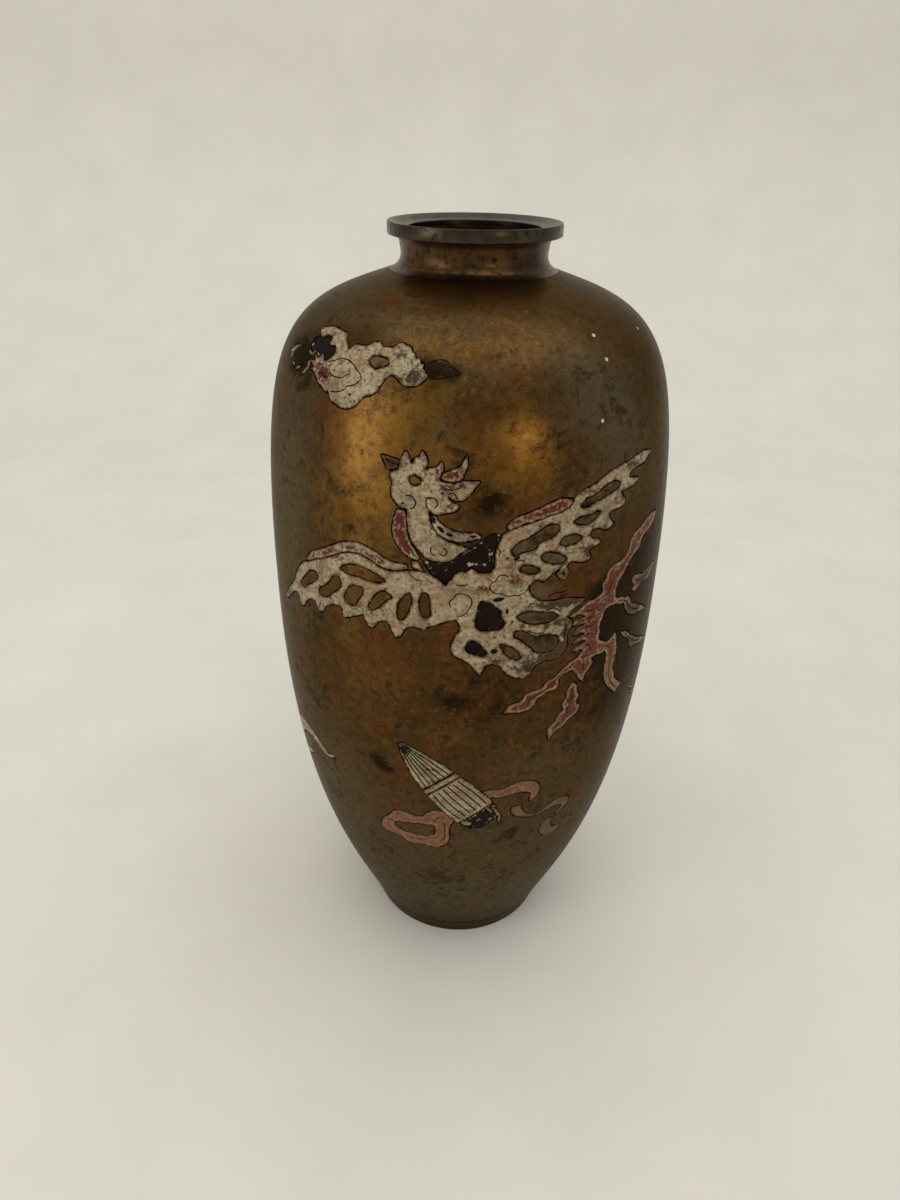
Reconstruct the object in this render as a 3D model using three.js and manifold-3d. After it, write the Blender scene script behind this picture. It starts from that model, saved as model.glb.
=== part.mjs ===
// A tall copper vase, raised and turned, with a waisted neck, a dished lip and pale, pink and red
// inlays let into engraved pockets: clouds, a phoenix in flight and a tied bundle with ribbons.
// Millimetres, +Z up, origin at the centre of the foot plane, the phoenix on the -Y side.
import * as THREE from 'three';
import { mergeVertices } from 'three/addons/utils/BufferGeometryUtils.js';
import { TessellateModifier } from 'three/addons/modifiers/TessellateModifier.js';
import Module from 'manifold-3d';

const wasm = await Module();
wasm.setup();

// Wall line of the vessel: its turning points, its lean there and how far each lean is held
const footRadius = 28.5;
const footLean = 0.32;
const footPull = 23.6;
const bellyRadius = 54.1;
const bellyHeight = 122;
const bellyPullDown = 75;
const bellyPullUp = 20.5;
const shoulderRadius = 50;
const shoulderHeight = 179.5;
const shoulderLean = -0.25;
const shoulderPullDown = 14.8;
const shoulderPullUp = 19.4;
const seatRadius = 20.5;
const seatHeight = 205.2;
const seatLean = 0.35;
const seatPull = 15.4;

// Walls, fits and the open neck
const wallThickness = 2.6;
const fitGap = 0.3;
const openingRadius = 18.3;
const boreRadius = 15.8;

// Neck collar, measured up from the shoulder seat
const neckBaseStep = 0.2;
const neckSweepRadius = 18.6;
const neckSweepHeight = 1.4;
const neckWaistRadius = 17.9;
const neckWaistHeight = 3.3;
const neckFlareRadius = 18.2;
const neckFlareHeight = 6;
const neckTopRadius = 18.7;
const neckHeight = 7.5;
const neckTailLength = 1.5;
const lipSpigotRadius = 17.3;
const lipSpigotHeight = 0.9;

// Mouth rim, measured up from the neck's top ledge
const rimRadius = 21.1;
const rimHeight = 3;
const rimEdge = 0.25;
const throatRadius = 16;
const dishDepth = 1.3;
const dishSag = 0.2;

// Foot ring and base plate
const ringHeight = 6;
const ringBore = 24;
const ringSpigotRise = 3;
const ringEdge = 0.6;
const ledgeHeight = 3;
const plateRadius = 25.8;
const plateThickness = 2.2;

// Inlays: how thick they are, how deep they are bedded and how fine their bent faces are
const inlayThickness = 0.7;
const beddingGap = 0.3;
const lostInlayDrop = 0.25;
const cutterRise = 1;
const strapStep = 3;
const splineSteps = 1.5;
const biteSteps = 3;
const biteSpread = 0.2;
const mitreLimit = 0.5;
const cellSteps = 8;
const flatEdge = 10;
const shoulderEdge = 5;
const shoulderShare = 0.81;

// The drawing's own vessel: the belly that it is wrapped round and the length of its wall line
const drawnBellyRadius = 54.1;
const drawnWallLength = 225.19;

// Centres of the four figures on the drawing: round the belly from the front, and up the wall line
const cloudPlace = [-30, 193.8];
const streamerPlace = [-60, 81.8];
const phoenixPlace = [0, 148.8];
const bundlePlace = [0, 83.8];

// Facets
const turnSegments = 48;
const lowerWallSteps = 8;
const upperWallSteps = 4;
const shoulderSteps = 9;
const innerShare = 0.5;
const neckSteps = 6;
const weldDistance = 1e-4;
const halvings = 40;
const splitRounds = 14;

// Point moved from another along a direction given as a run outwards and a rise
function reach(from, run, rise, pull) {
  return new THREE.Vector2(run, rise).normalize().multiplyScalar(pull).add(from);
}

const foot = new THREE.Vector2(footRadius, 0);
const belly = new THREE.Vector2(bellyRadius, bellyHeight);
const shoulder = new THREE.Vector2(shoulderRadius, shoulderHeight);
const seat = new THREE.Vector2(seatRadius, seatHeight);

const lowerWall = new THREE.CubicBezierCurve(
  foot, reach(foot, footLean, 1, footPull), reach(belly, 0, -1, bellyPullDown), belly,
);
const upperWall = new THREE.CubicBezierCurve(
  belly, reach(belly, 0, 1, bellyPullUp), reach(shoulder, -shoulderLean, -1, shoulderPullDown), shoulder,
);
const shoulderTurn = new THREE.CubicBezierCurve(
  shoulder, reach(shoulder, shoulderLean, 1, shoulderPullUp), reach(seat, 1, -seatLean, seatPull), seat,
);
const wallLine = new THREE.CurvePath();
wallLine.add(lowerWall);
wallLine.add(upperWall);
wallLine.add(shoulderTurn);

// Outward normal of a curve in the radius and height plane
function outward(curve, share) {
  const along = curve.getTangent(share);
  return new THREE.Vector2(along.y, -along.x);
}

// Share of the wall line's length at which it reaches a height
function shareAtHeight(height) {
  let low = 0;
  let high = 1;
  for (let round = 0; round < halvings; round += 1) {
    const middle = (low + high) / 2;
    if (wallLine.getPoint(middle).y < height) {
      low = middle;
    } else {
      high = middle;
    }
  }
  return low;
}

// Closed profile of radius and height points, revolved about Z
function turned(profile) {
  const closed = [...profile, profile[0]];
  const geometry = new THREE.LatheGeometry(closed.map(([r, z]) => new THREE.Vector2(r, z)), turnSegments);
  return geometry.rotateX(Math.PI / 2);
}

function solidOf(geometry) {
  const bare = geometry.clone();
  bare.deleteAttribute('normal');
  bare.deleteAttribute('uv');
  const welded = mergeVertices(bare, weldDistance);
  return new wasm.Manifold(new wasm.Mesh({
    numProp: 3,
    vertProperties: new Float32Array(welded.attributes.position.array),
    triVerts: new Uint32Array(welded.index.array),
  }));
}

function geometryOf(solid) {
  const mesh = solid.getMesh();
  const geometry = new THREE.BufferGeometry();
  geometry.setAttribute('position', new THREE.BufferAttribute(mesh.vertProperties, 3));
  geometry.setIndex(new THREE.BufferAttribute(mesh.triVerts, 1));
  geometry.computeVertexNormals();
  return geometry;
}

const finishes = {
  patina: new THREE.MeshStandardMaterial({ color: 0x5c4526, metalness: 0.85, roughness: 0.42 }),
  rim: new THREE.MeshStandardMaterial({ color: 0x4f4740, metalness: 0.85, roughness: 0.38 }),
  cream: new THREE.MeshStandardMaterial({ color: 0xb5aa97, metalness: 0, roughness: 0.5 }),
  pink: new THREE.MeshStandardMaterial({ color: 0xa67a6b, metalness: 0, roughness: 0.5 }),
  red: new THREE.MeshStandardMaterial({ color: 0x87362c, metalness: 0, roughness: 0.5 }),
  bed: new THREE.MeshStandardMaterial({ color: 0x17120e, metalness: 0, roughness: 0.6 }),
};

function named(name, geometry, finish, height = 0) {
  const mesh = new THREE.Mesh(geometry, finish);
  mesh.name = name;
  mesh.position.z = height;
  return mesh;
}

// Foot: where the wall ends on the ring, and the ring's spigot inside it
const wallFootHeight = ringHeight + fitGap;
const wallFootShare = shareAtHeight(wallFootHeight);
const wallFootRadius = wallLine.getPoint(wallFootShare).x;
const wallFootRun = wallThickness / outward(wallLine, wallFootShare).x;
const ringSpigotRadius = wallFootRadius - wallFootRun - fitGap;

// Rows of the wall line from its foot to the seat, moved inwards by a depth
function wallRows(share, depth) {
  const rows = [];
  const parts = [[lowerWall, lowerWallSteps], [upperWall, upperWallSteps], [shoulderTurn, shoulderSteps]];
  for (const [curve, fullSteps] of parts) {
    const steps = Math.ceil(fullSteps * share);
    for (let step = rows.length === 0 ? 0 : 1; step <= steps; step += 1) {
      const at = curve.getUtoTmapping(step / steps);
      const row = curve.getPoint(at).addScaledVector(outward(curve, at), -depth);
      if (row.y > wallFootHeight + wallThickness) {
        rows.push([row.x, row.y]);
      }
    }
  }
  return rows;
}

function bodyShell() {
  const outer = wallRows(1, 0);
  const inner = wallRows(innerShare, wallThickness).reverse();
  const ceiling = inner[0][1];
  return turned([
    [wallFootRadius, wallFootHeight],
    ...outer,
    [openingRadius, seatHeight],
    [openingRadius, ceiling],
    ...inner,
    [wallFootRadius - wallFootRun, wallFootHeight],
  ]);
}

function neckCollar() {
  const sweep = new THREE.SplineCurve([
    new THREE.Vector2(seatRadius - neckBaseStep, fitGap),
    new THREE.Vector2(neckSweepRadius, neckSweepHeight),
    new THREE.Vector2(neckWaistRadius, neckWaistHeight),
    new THREE.Vector2(neckFlareRadius, neckFlareHeight),
    new THREE.Vector2(neckTopRadius, neckHeight),
  ]);
  const tail = -wallThickness - neckTailLength;
  return turned([
    ...sweep.getPoints(neckSteps).map((spot) => [spot.x, spot.y]),
    [lipSpigotRadius, neckHeight],
    [lipSpigotRadius, neckHeight + lipSpigotHeight],
    [boreRadius, neckHeight + lipSpigotHeight],
    [boreRadius, tail],
    [openingRadius - fitGap, tail],
    [openingRadius - fitGap, fitGap],
  ]);
}

function mouthRim() {
  const top = fitGap + rimHeight;
  const socket = lipSpigotHeight + fitGap;
  return turned([
    [lipSpigotRadius + fitGap, fitGap],
    [rimRadius - rimEdge, fitGap],
    [rimRadius, fitGap + rimEdge],
    [rimRadius, top - rimEdge],
    [rimRadius - rimEdge, top],
    [(rimRadius + throatRadius) / 2, top - dishDepth / 2 - dishSag],
    [throatRadius, top - dishDepth],
    [throatRadius, socket],
    [lipSpigotRadius + fitGap, socket],
  ]);
}

function footRing() {
  const edge = wallLine.getPoint(shareAtHeight(ringEdge)).x;
  const top = wallLine.getPoint(shareAtHeight(ringHeight)).x;
  const rebate = plateRadius + fitGap;
  return turned([
    [ringBore, 0],
    [footRadius - ringEdge, 0],
    [edge, ringEdge],
    [top, ringHeight],
    [ringSpigotRadius, ringHeight],
    [ringSpigotRadius, ringHeight + ringSpigotRise],
    [rebate, ringHeight + ringSpigotRise],
    [rebate, ledgeHeight],
    [ringBore, ledgeHeight],
  ]);
}

function basePlate() {
  const disc = new THREE.CylinderGeometry(plateRadius, plateRadius, plateThickness, turnSegments);
  return disc.rotateX(Math.PI / 2);
}

// Closed outline with a width at every knot of its centre line, given as [u, v, width]
function strap(knots) {
  const centre = new THREE.SplineCurve(knots.map(([u, v]) => new THREE.Vector2(u, v)));
  const widths = new THREE.SplineCurve(knots.map(([, , width], index) => new THREE.Vector2(index, width)));
  const steps = Math.max(2, Math.round(centre.getLength() / strapStep));
  const left = [];
  const right = [];
  for (let step = 0; step <= steps; step += 1) {
    const at = centre.getUtoTmapping(step / steps);
    const spot = centre.getPoint(at);
    const along = centre.getTangent(at);
    const half = widths.getPoint(at).y / 2;
    left.push(new THREE.Vector2(spot.x - along.y * half, spot.y + along.x * half));
    right.push(new THREE.Vector2(spot.x + along.y * half, spot.y - along.x * half));
  }
  return new THREE.Shape([...right, ...left.reverse()]);
}

const flatPoints = (points) => points.map(([u, v]) => new THREE.Vector2(u, v));

// Closed smooth outline through points
function smooth(points) {
  const line = new THREE.SplineCurve(flatPoints([...points, points[0]]));
  return new THREE.Shape(line.getPoints(Math.round(points.length * splineSteps)));
}

// Wing outline: a smooth leading edge to the tip, then a bite before the tip of each feather,
// given as [u, v, depth of the bite to its left on the way there]
function wing(leading, feathers) {
  const line = new THREE.SplineCurve(flatPoints(leading));
  const outline = line.getPoints(leading.length - 1);
  for (const [u, v, bite] of feathers) {
    const last = outline.at(-1);
    const next = new THREE.Vector2(u, v);
    const run = next.clone().sub(last);
    const inward = new THREE.Vector2(-run.y, run.x).normalize().multiplyScalar(bite);
    const near = last.clone().addScaledVector(run, biteSpread).add(inward);
    const far = last.clone().addScaledVector(run, 1 - biteSpread).add(inward);
    outline.push(...new THREE.CubicBezierCurve(last, near, far, next).getPoints(biteSteps).slice(1));
  }
  return new THREE.Shape(outline);
}

// Oval cells that leave the copper ground showing, each [u, v, half length, half width, tilt]
function pierced(shape, cells) {
  for (const [u, v, halfLength, halfWidth, tilt] of cells) {
    const turn = THREE.MathUtils.degToRad(tilt);
    const oval = new THREE.EllipseCurve(u, v, halfLength, halfWidth, 0, 2 * Math.PI, true, turn);
    shape.holes.push(new THREE.Path(oval.getPoints(cellSteps)));
  }
  return shape;
}

// Loop of points with the material on its left, each moved away from the material by a distance
function grownLoop(loop, clockwise, distance) {
  const points = loop.filter((spot, index) => spot.distanceTo(loop.at(index - 1)) > fitGap / 2);
  if (THREE.ShapeUtils.isClockWise(points) !== clockwise) {
    points.reverse();
  }
  return points.map((spot, index) => {
    const before = spot.clone().sub(points.at(index - 1)).normalize();
    const after = points[(index + 1) % points.length].clone().sub(spot).normalize();
    const away = new THREE.Vector2(before.y + after.y, -before.x - after.x).normalize();
    const slant = Math.max(mitreLimit, away.x * before.y - away.y * before.x);
    return spot.clone().addScaledVector(away, distance / slant);
  });
}

function grownShape(shape, distance) {
  const { shape: rim, holes } = shape.extractPoints(1);
  const grown = new THREE.Shape(grownLoop(rim, false, distance));
  grown.holes = holes.map((hole) => new THREE.Path(grownLoop(hole, true, distance)));
  return grown;
}

// Solid between two depths under the wall's face, bent from the unrolled sheet onto the vessel
function onWall(shape, [placeU, placeV], bottom, top) {
  const flat = new THREE.ExtrudeGeometry(shape, { depth: top - bottom, bevelEnabled: false, curveSegments: 1 });
  flat.deleteAttribute('normal');
  flat.deleteAttribute('uv');
  const edge = placeV / drawnWallLength > shoulderShare ? shoulderEdge : flatEdge;
  const fine = new TessellateModifier(edge, splitRounds).modify(flat);
  const spots = fine.attributes.position;
  for (let index = 0; index < spots.count; index += 1) {
    const turn = (placeU + spots.getX(index)) / drawnBellyRadius;
    const share = (placeV + spots.getY(index)) / drawnWallLength;
    const depth = bottom + spots.getZ(index);
    const row = wallLine.getPoint(share).addScaledVector(outward(wallLine, share), depth);
    spots.setXYZ(index, row.x * Math.sin(turn), -row.x * Math.cos(turn), row.y);
  }
  return solidOf(fine);
}

// Inlays are laid one by one: each is trimmed to clear the pockets of those laid before it
const pockets = [];
const plaques = [];

function layInlay(name, shape, place, finish, drop = 0) {
  let plaque = onWall(grownShape(shape, 0), place, -inlayThickness, -drop);
  for (const pocket of pockets) {
    plaque = plaque.subtract(pocket);
  }
  pockets.push(onWall(grownShape(shape, fitGap), place, -inlayThickness - beddingGap, cutterRise));
  plaques.push(named(name, geometryOf(plaque), finish));
}

function layCloud() {
  const head = smooth([
    [-5.5, 5], [-1, 6.3], [2, 7.6], [5.5, 6.9], [8.5, 7.3], [10, 8.4], [12.5, 7.3], [14, 5], [17, 4.7],
    [19.5, 1.6], [17.5, 0], [15, -0.7], [12, 0.5], [8.5, 0.8], [4.5, -0.4], [0, 1.8], [-5.5, 3.4],
  ]);
  layInlay('cloud_head', pierced(head, [[5.5, 3.3, 2.9, 1.5, 0]]), cloudPlace, finishes.cream);
  layInlay('cloud_curl', strap([
    [-21.5, 7.4, 0.9], [-18, 8.1, 2.2], [-14, 8, 2.6], [-10.2, 6.4, 3], [-7.8, 3.9, 3.2], [-8.2, 1.6, 1.6],
  ]), cloudPlace, finishes.cream);
  layInlay('cloud_bank', smooth([
    [-16.5, -0.5], [-13.5, -2.8], [-10, -5.2], [-7.3, -5], [-5.5, -7], [-2.5, -7.7], [0.5, -7], [2.5, -4.7],
    [5, -4], [7, -2.7], [8.2, -0.6], [4.5, 0.2], [-1, 1.6], [-5, 2.6], [-9.5, 1], [-13, 1.4],
  ]), cloudPlace, finishes.cream);
  layInlay('cloud_lost_bed', strap([
    [-20.5, 5.6, 1.6], [-17.5, 4.6, 3.6], [-14.5, 3.8, 4.6], [-11, 3.4, 3.6],
  ]), cloudPlace, finishes.bed, lostInlayDrop);
  layInlay('cloud_wisp', strap([
    [-33.5, -0.8, 0.9], [-32, 1, 2.4], [-28.5, 2.4, 0.9],
  ]), cloudPlace, finishes.cream);
}

function layStreamers() {
  layInlay('streamer_upper', strap([
    [20.5, 4.6, 0.8], [17, 3, 1.6], [13, 4.4, 2.6], [8, 6, 3.4], [2, 5, 4.5], [-4, 1, 5.5], [-10, -3.5, 5],
    [-16, -5.5, 3], [-21, -4.5, 1],
  ]), streamerPlace, finishes.cream);
  layInlay('streamer_lower', strap([
    [6, -3.5, 0.8], [0, -6.5, 2.4], [-6, -10.5, 3.6], [-12, -14.5, 3], [-18, -16, 1],
  ]), streamerPlace, finishes.cream);
}

function layPhoenixHead() {
  const face = new THREE.SplineCurve(flatPoints([
    [-13.6, 17.6], [-15.8, 18.4], [-17.4, 20.4], [-17, 22.2], [-17.9, 24.5], [-16.2, 27.6], [-14.6, 31.3],
  ]));
  const crest = flatPoints([
    [-13.2, 29.5], [-11.7, 29.8], [-10.1, 31.5], [-9, 28.4], [-6.2, 29.3], [-5.4, 26.5],
    [-2.8, 24.9], [2.8, 25.4], [0.8, 23], [-1.6, 21.6], [-1.8, 19.7], [-4.6, 18], [-9.2, 17.3],
  ]);
  const head = new THREE.Shape([...face.getPoints(face.points.length), ...crest]);
  layInlay('phoenix_head', pierced(head, [[-12, 24.8, 1.6, 1.2, 20]]), phoenixPlace, finishes.cream);
  layInlay('phoenix_crest', strap([
    [-5.6, 26.3, 1.4], [-3.4, 27, 2.4], [-1, 27.4, 2.3], [0.2, 30.2, 0.7],
  ]), phoenixPlace, finishes.red);
  layInlay('phoenix_throat', strap([
    [-14.9, 17.4, 1.8], [-15.2, 14.4, 3], [-15, 12, 3.2], [-14, 9.8, 2.8], [-12.4, 8, 2.2], [-10.8, 7.2, 1],
  ]), phoenixPlace, finishes.red);
  layInlay('phoenix_mane', strap([
    [-7.8, 17, 1.4], [-7, 15.2, 2], [-5.2, 13.6, 2.2], [-3, 12.8, 2.2], [-0.6, 12.5, 2], [1.6, 12.8, 1.4],
    [3.2, 12.6, 0.8],
  ]), phoenixPlace, finishes.cream);
  layInlay('phoenix_neck', smooth([
    [-13.1, 17], [-13.2, 14.6], [-12.7, 12], [-11.5, 9.8], [-9.8, 8], [-8, 6.9], [-5.5, 6.5], [-3.5, 6.9],
    [-2, 8], [0.8, 9.8], [-2, 10.9], [-4.6, 11.5], [-6.6, 12.8], [-8, 14.6], [-8.8, 17],
  ]), phoenixPlace, finishes.cream);
}

function layWings() {
  layInlay('left_wing_strip', strap([
    [-13.4, 4.5, 1], [-16, 4, 1.8], [-19, 4.3, 2.2], [-22, 5.6, 2.4], [-25.5, 6.5, 2.4], [-29.5, 5.9, 2.3],
    [-33, 4.2, 2.2], [-37, 2, 2], [-40.5, 0.4, 1.8], [-43, -1.6, 0.9],
  ]), phoenixPlace, finishes.pink);
  layInlay('left_wing', pierced(wing(
    [
      [-4, -8.5], [-3.6, -3.5], [-4.6, 0.6], [-9, 3.4], [-15, 2.9], [-20, 2.9], [-25, 5], [-29.5, 4.5],
      [-34, 2.4], [-38.5, -0.2], [-42.5, -2.1], [-46.6, -5.2], [-49.6, -9.8], [-53.5, -13.9], [-58, -17.4],
    ],
    [
      [-57.2, -18.4, 0], [-47, -15.8, 2], [-39, -14.2, 3.4], [-30.5, -13, 3.8], [-23.5, -13.3, 3.4],
      [-16.5, -14.3, 4.2], [-9.5, -11.5, 3], [-4, -8.5, 1.4],
    ],
  ), [
    [-43, -7, 5, 1.7, 40], [-35, -6, 5, 2, 45], [-27.5, -6, 3.7, 2, 50], [-20.5, -5.8, 4.1, 1.9, 45],
    [-14, -5.9, 3.9, 1.6, 70], [-9.1, -4.8, 3.3, 1.4, 92], [-25, 0.5, 6.2, 1.5, -2],
  ]), phoenixPlace, finishes.cream);
  layInlay('right_wing_strip', strap([
    [9.2, 14.6, 1], [12, 16.1, 1.8], [15.5, 17, 2.2], [19, 18.1, 2.4], [22, 18.8, 2.6], [24.8, 19.5, 1],
  ]), phoenixPlace, finishes.red);
  layInlay('right_wing', pierced(wing(
    [
      [15, 0.8], [12.4, 2], [10.4, 3.6], [8, 5.4], [6.8, 9], [9, 13.5], [14, 15], [19, 16.4], [23, 17.6],
      [26, 20], [31, 22.2], [37, 24.2], [42.5, 25.1], [47.5, 25.9], [52.8, 25.5],
    ],
    [
      [52.4, 24.6, 0], [46, 21.2, -1.6], [41.5, 16, -2.8], [37.5, 11.4, -3], [33.5, 7.6, -3],
      [30.5, 4.5, -2.2], [24.5, 1.2, -2.6], [18.5, -0.4, -2], [15, 0.8, -1],
    ],
  ), [
    [16.2, 11.4, 6.3, 2, 24], [25.6, 10.2, 3.4, 1.2, 4], [21, 6.2, 3.4, 1.4, -14], [14.8, 4.8, 2.3, 1, -10],
    [33.6, 19.8, 5.8, 1.4, 20], [30, 14.6, 4.6, 1.1, 10],
  ]), phoenixPlace, finishes.cream);
}

function layPlume() {
  layInlay('phoenix_plume', pierced(smooth([
    [-3.2, 1], [0.5, 1.6], [4, 3.5], [7, 4.6], [9.4, 3], [11.6, 1.2], [14.2, -2], [16.4, -3.8], [20, -5],
    [24.5, -5.4], [29, -6.6], [25.8, -9.4], [26.8, -12], [25.8, -15], [25.9, -18], [23.6, -20.8],
    [19.5, -21], [16.8, -22.4], [15, -24.7], [12, -23.8], [9.4, -21.4], [6.4, -20.2], [4.3, -23], [2, -20.4],
    [-1.4, -18.3], [-2.9, -15.4], [-1.6, -11.6], [-1.2, -8], [-2.6, -4],
  ]), [
    [5.8, -6.9, 3.1, 3.9, 0], [17.5, -8.2, 5.2, 1.5, -6], [18.4, -14.4, 5.5, 2.7, -20],
    [11.2, -17.3, 3, 1.8, -38], [3.6, -15.9, 3, 1.6, -20],
  ]), phoenixPlace, finishes.cream);
  layInlay('phoenix_breast_bed', smooth([
    [-9.4, 6], [-6, 6.3], [-2.6, 7.4], [0, 8.8], [2.4, 10.6], [4.4, 12.4], [6.6, 13.2], [7.8, 12.6],
    [6.8, 10.8], [5.6, 8.6], [5.8, 6], [4.6, 4.4], [1.4, 4.2], [-1.6, 3.6], [-4.4, 1], [-7, 3],
  ]), phoenixPlace, finishes.bed, lostInlayDrop);
}

function layTail() {
  layInlay('tail_root', strap([
    [33.4, -7.4, 4.4], [32.6, -11, 6.8], [32.2, -15, 6.8], [32.2, -19, 5.6], [31.2, -24, 4], [31.6, -28.4, 1.4],
  ]), phoenixPlace, finishes.pink);
  const feathers = {
    tail_feather_upper: [
      [37.8, -8.4, 4], [38.6, -4, 4.2], [41.6, -0.6, 3.8], [45.6, 2.4, 3.6], [49.5, 5.4, 3.4],
      [53.5, 6.9, 2.8], [58.4, 7.8, 1],
    ],
    tail_feather_lower: [
      [28.8, -23.8, 2.4], [26.4, -25.2, 2], [24, -27.4, 1.8], [22, -29.3, 3.4], [18.6, -31.4, 3.2],
      [15, -33.5, 3.2], [11, -34.9, 0.9],
    ],
    tail_feather_drop: [
      [28.8, -30.6, 1.6], [29, -33.8, 4.2], [28.6, -37.4, 5.2], [27.2, -40.6, 4.8], [25, -43.6, 3],
      [23.4, -46.4, 0.9],
    ],
    tail_feather_curl: [
      [36, -20.8, 2], [38.8, -22.4, 2.2], [41, -24.6, 3], [41.9, -28, 3.2], [42.1, -31, 3], [43.2, -35, 3],
      [45, -37.8, 2.6], [47.6, -40, 1],
    ],
    tail_feather_side: [
      [41.4, -9.9, 1.6], [44.6, -10.6, 2], [47.2, -13, 3], [50.6, -15.8, 3], [54.5, -17.6, 2.4], [60, -20.6, 0.9],
    ],
    tail_feather_far: [[46.8, -6.8, 1.2], [49.5, -8, 2.8], [53, -8.8, 2.8], [57, -8.3, 2.2], [62, -7.2, 1]],
    tail_feather_back: [
      [45, -21, 1.2], [47.6, -22, 1.8], [50.5, -24.6, 2.2], [53, -27, 2.8], [57.5, -29.2, 2], [64, -32, 1],
    ],
  };
  for (const [name, knots] of Object.entries(feathers)) {
    layInlay(name, strap(knots), phoenixPlace, finishes.pink);
  }
}

function layBundle() {
  const tip = new THREE.Vector2(-16, 18.2);
  const along = new THREE.Vector2(0.66, -0.751);
  const onAxis = ([length, width]) => [...tip.clone().addScaledVector(along, length), width];
  const pieces = {
    bundle_reeds_upper: [[[0, 1.4], [5, 6], [10.3, 9.4], [15.6, 11.4]], finishes.cream],
    bundle_tie: [[[16, 12], [17.5, 12.3]], finishes.cream],
    bundle_reeds_lower: [[[17.9, 12.2], [23, 13], [28, 13.2], [31.6, 12.6]], finishes.cream],
    bundle_end_cap: [[[32, 12], [34.6, 10.6], [37.4, 5.5]], finishes.bed],
  };
  for (const [name, [knots, finish]] of Object.entries(pieces)) {
    layInlay(name, strap(knots.map(onAxis)), bundlePlace, finish);
  }
}

function layRibbons() {
  const loop = smooth([
    [-1, -7.5], [-3, -5.2], [-7, -5], [-10, -7], [-13, -8], [-18, -7.7], [-20.5, -9], [-21.5, -11.5],
    [-24, -14.5], [-24, -17.5], [-21.5, -19.5], [-17, -20], [-13.5, -21.2], [-8, -21.7], [-4, -20],
    [-2.3, -17], [-3, -13.5], [-1.8, -10],
  ]);
  loop.holes.push(smooth([
    [-19.5, -14.5], [-16, -12], [-11, -11.2], [-7.5, -11.8], [-6.3, -14], [-8, -16.2], [-12, -17.1], [-17, -16.8],
  ]));
  layInlay('ribbon_loop', loop, bundlePlace, finishes.pink);
  layInlay('ribbon_bow', strap([
    [5.6, 1.8, 1.6], [9, 2.8, 2.2], [11.6, 2.3, 2.2], [14, 3.2, 2.6], [17, 4, 3], [20, 3.2, 3.2],
    [21.8, 1.2, 3], [21.4, -1.2, 1.8], [20.4, -2.8, 0.9],
  ]), bundlePlace, finishes.pink);
  layInlay('ribbon_end', strap([
    [16.6, -4.2, 1.4], [17, -6.2, 3], [18.8, -8.3, 2.2], [21.5, -9.7, 1], [24.8, -9.9, 1], [27.6, -8.6, 1.6],
    [31, -7.6, 2.4], [34, -8.8, 2.6], [34, -11.4, 1.2],
  ]), bundlePlace, finishes.pink);
  layInlay('ribbon_tail', strap([
    [30, -13.6, 1.2], [28.4, -16, 2.4], [28.2, -18.8, 2.8], [30.4, -20.9, 2.8], [33.4, -21.4, 2], [35, -20.6, 1],
  ]), bundlePlace, finishes.pink);
}

layCloud();
layStreamers();
layPhoenixHead();
layWings();
layPlume();
layTail();
layBundle();
layRibbons();

let body = solidOf(bodyShell());
for (const pocket of pockets) {
  body = body.subtract(pocket);
}

const vessel = new THREE.Group();
vessel.add(
  named('body_shell', geometryOf(body), finishes.patina),
  named('neck_collar', neckCollar(), finishes.patina, seatHeight),
  named('mouth_rim', mouthRim(), finishes.rim, seatHeight + neckHeight),
  named('foot_ring', footRing(), finishes.patina),
  named('base_plate', basePlate(), finishes.patina, ledgeHeight + fitGap + plateThickness / 2),
);

const inlays = new THREE.Group();
inlays.add(...plaques);

const vase = new THREE.Group();
vase.add(vessel, inlays);

export default vase;
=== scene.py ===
# Looks of the copper vase: smooth turned vessel, inlays bedded in real pockets, patina, floor and light.
import math

import bmesh
import bpy
import numpy as np
from mathutils import Matrix, Vector, noise


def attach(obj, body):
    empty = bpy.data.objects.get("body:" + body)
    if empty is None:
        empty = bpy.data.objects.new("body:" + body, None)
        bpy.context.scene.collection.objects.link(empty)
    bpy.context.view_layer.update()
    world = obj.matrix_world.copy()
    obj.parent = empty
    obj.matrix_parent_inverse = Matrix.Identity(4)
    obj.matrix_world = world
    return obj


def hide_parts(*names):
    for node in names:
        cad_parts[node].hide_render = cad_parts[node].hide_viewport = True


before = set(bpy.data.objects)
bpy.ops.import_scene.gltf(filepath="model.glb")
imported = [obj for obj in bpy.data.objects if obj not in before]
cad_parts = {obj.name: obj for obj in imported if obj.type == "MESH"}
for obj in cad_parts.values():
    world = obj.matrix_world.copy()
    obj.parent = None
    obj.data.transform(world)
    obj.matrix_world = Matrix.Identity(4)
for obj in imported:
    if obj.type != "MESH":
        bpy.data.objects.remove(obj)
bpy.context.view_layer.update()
MM = 0.001

# Wall line of the vessel in millimetres, as radius and height
foot = Vector((28.5, 0.0))
belly = Vector((54.1, 122.0))
shoulder = Vector((50.0, 179.5))
seat = Vector((20.5, 205.2))
wall_thickness = 2.6
ring_height = 6.0
fit_gap = 0.3
opening_radius = 18.3

# Neck, rim and the smoothness of the turned pieces
bore_radius = 15.8
neck_height = 7.5
neck_step = 0.02
neck_tail = 1.5
tail_radius = 18.0
spigot_radius = 17.3
spigot_rise = 0.9
wall_samples = 400
outer_steps = 150
inner_steps = 60
body_steps = 180
ring_steps = 144
plate_steps = 96
crease = math.radians(28)

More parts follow.
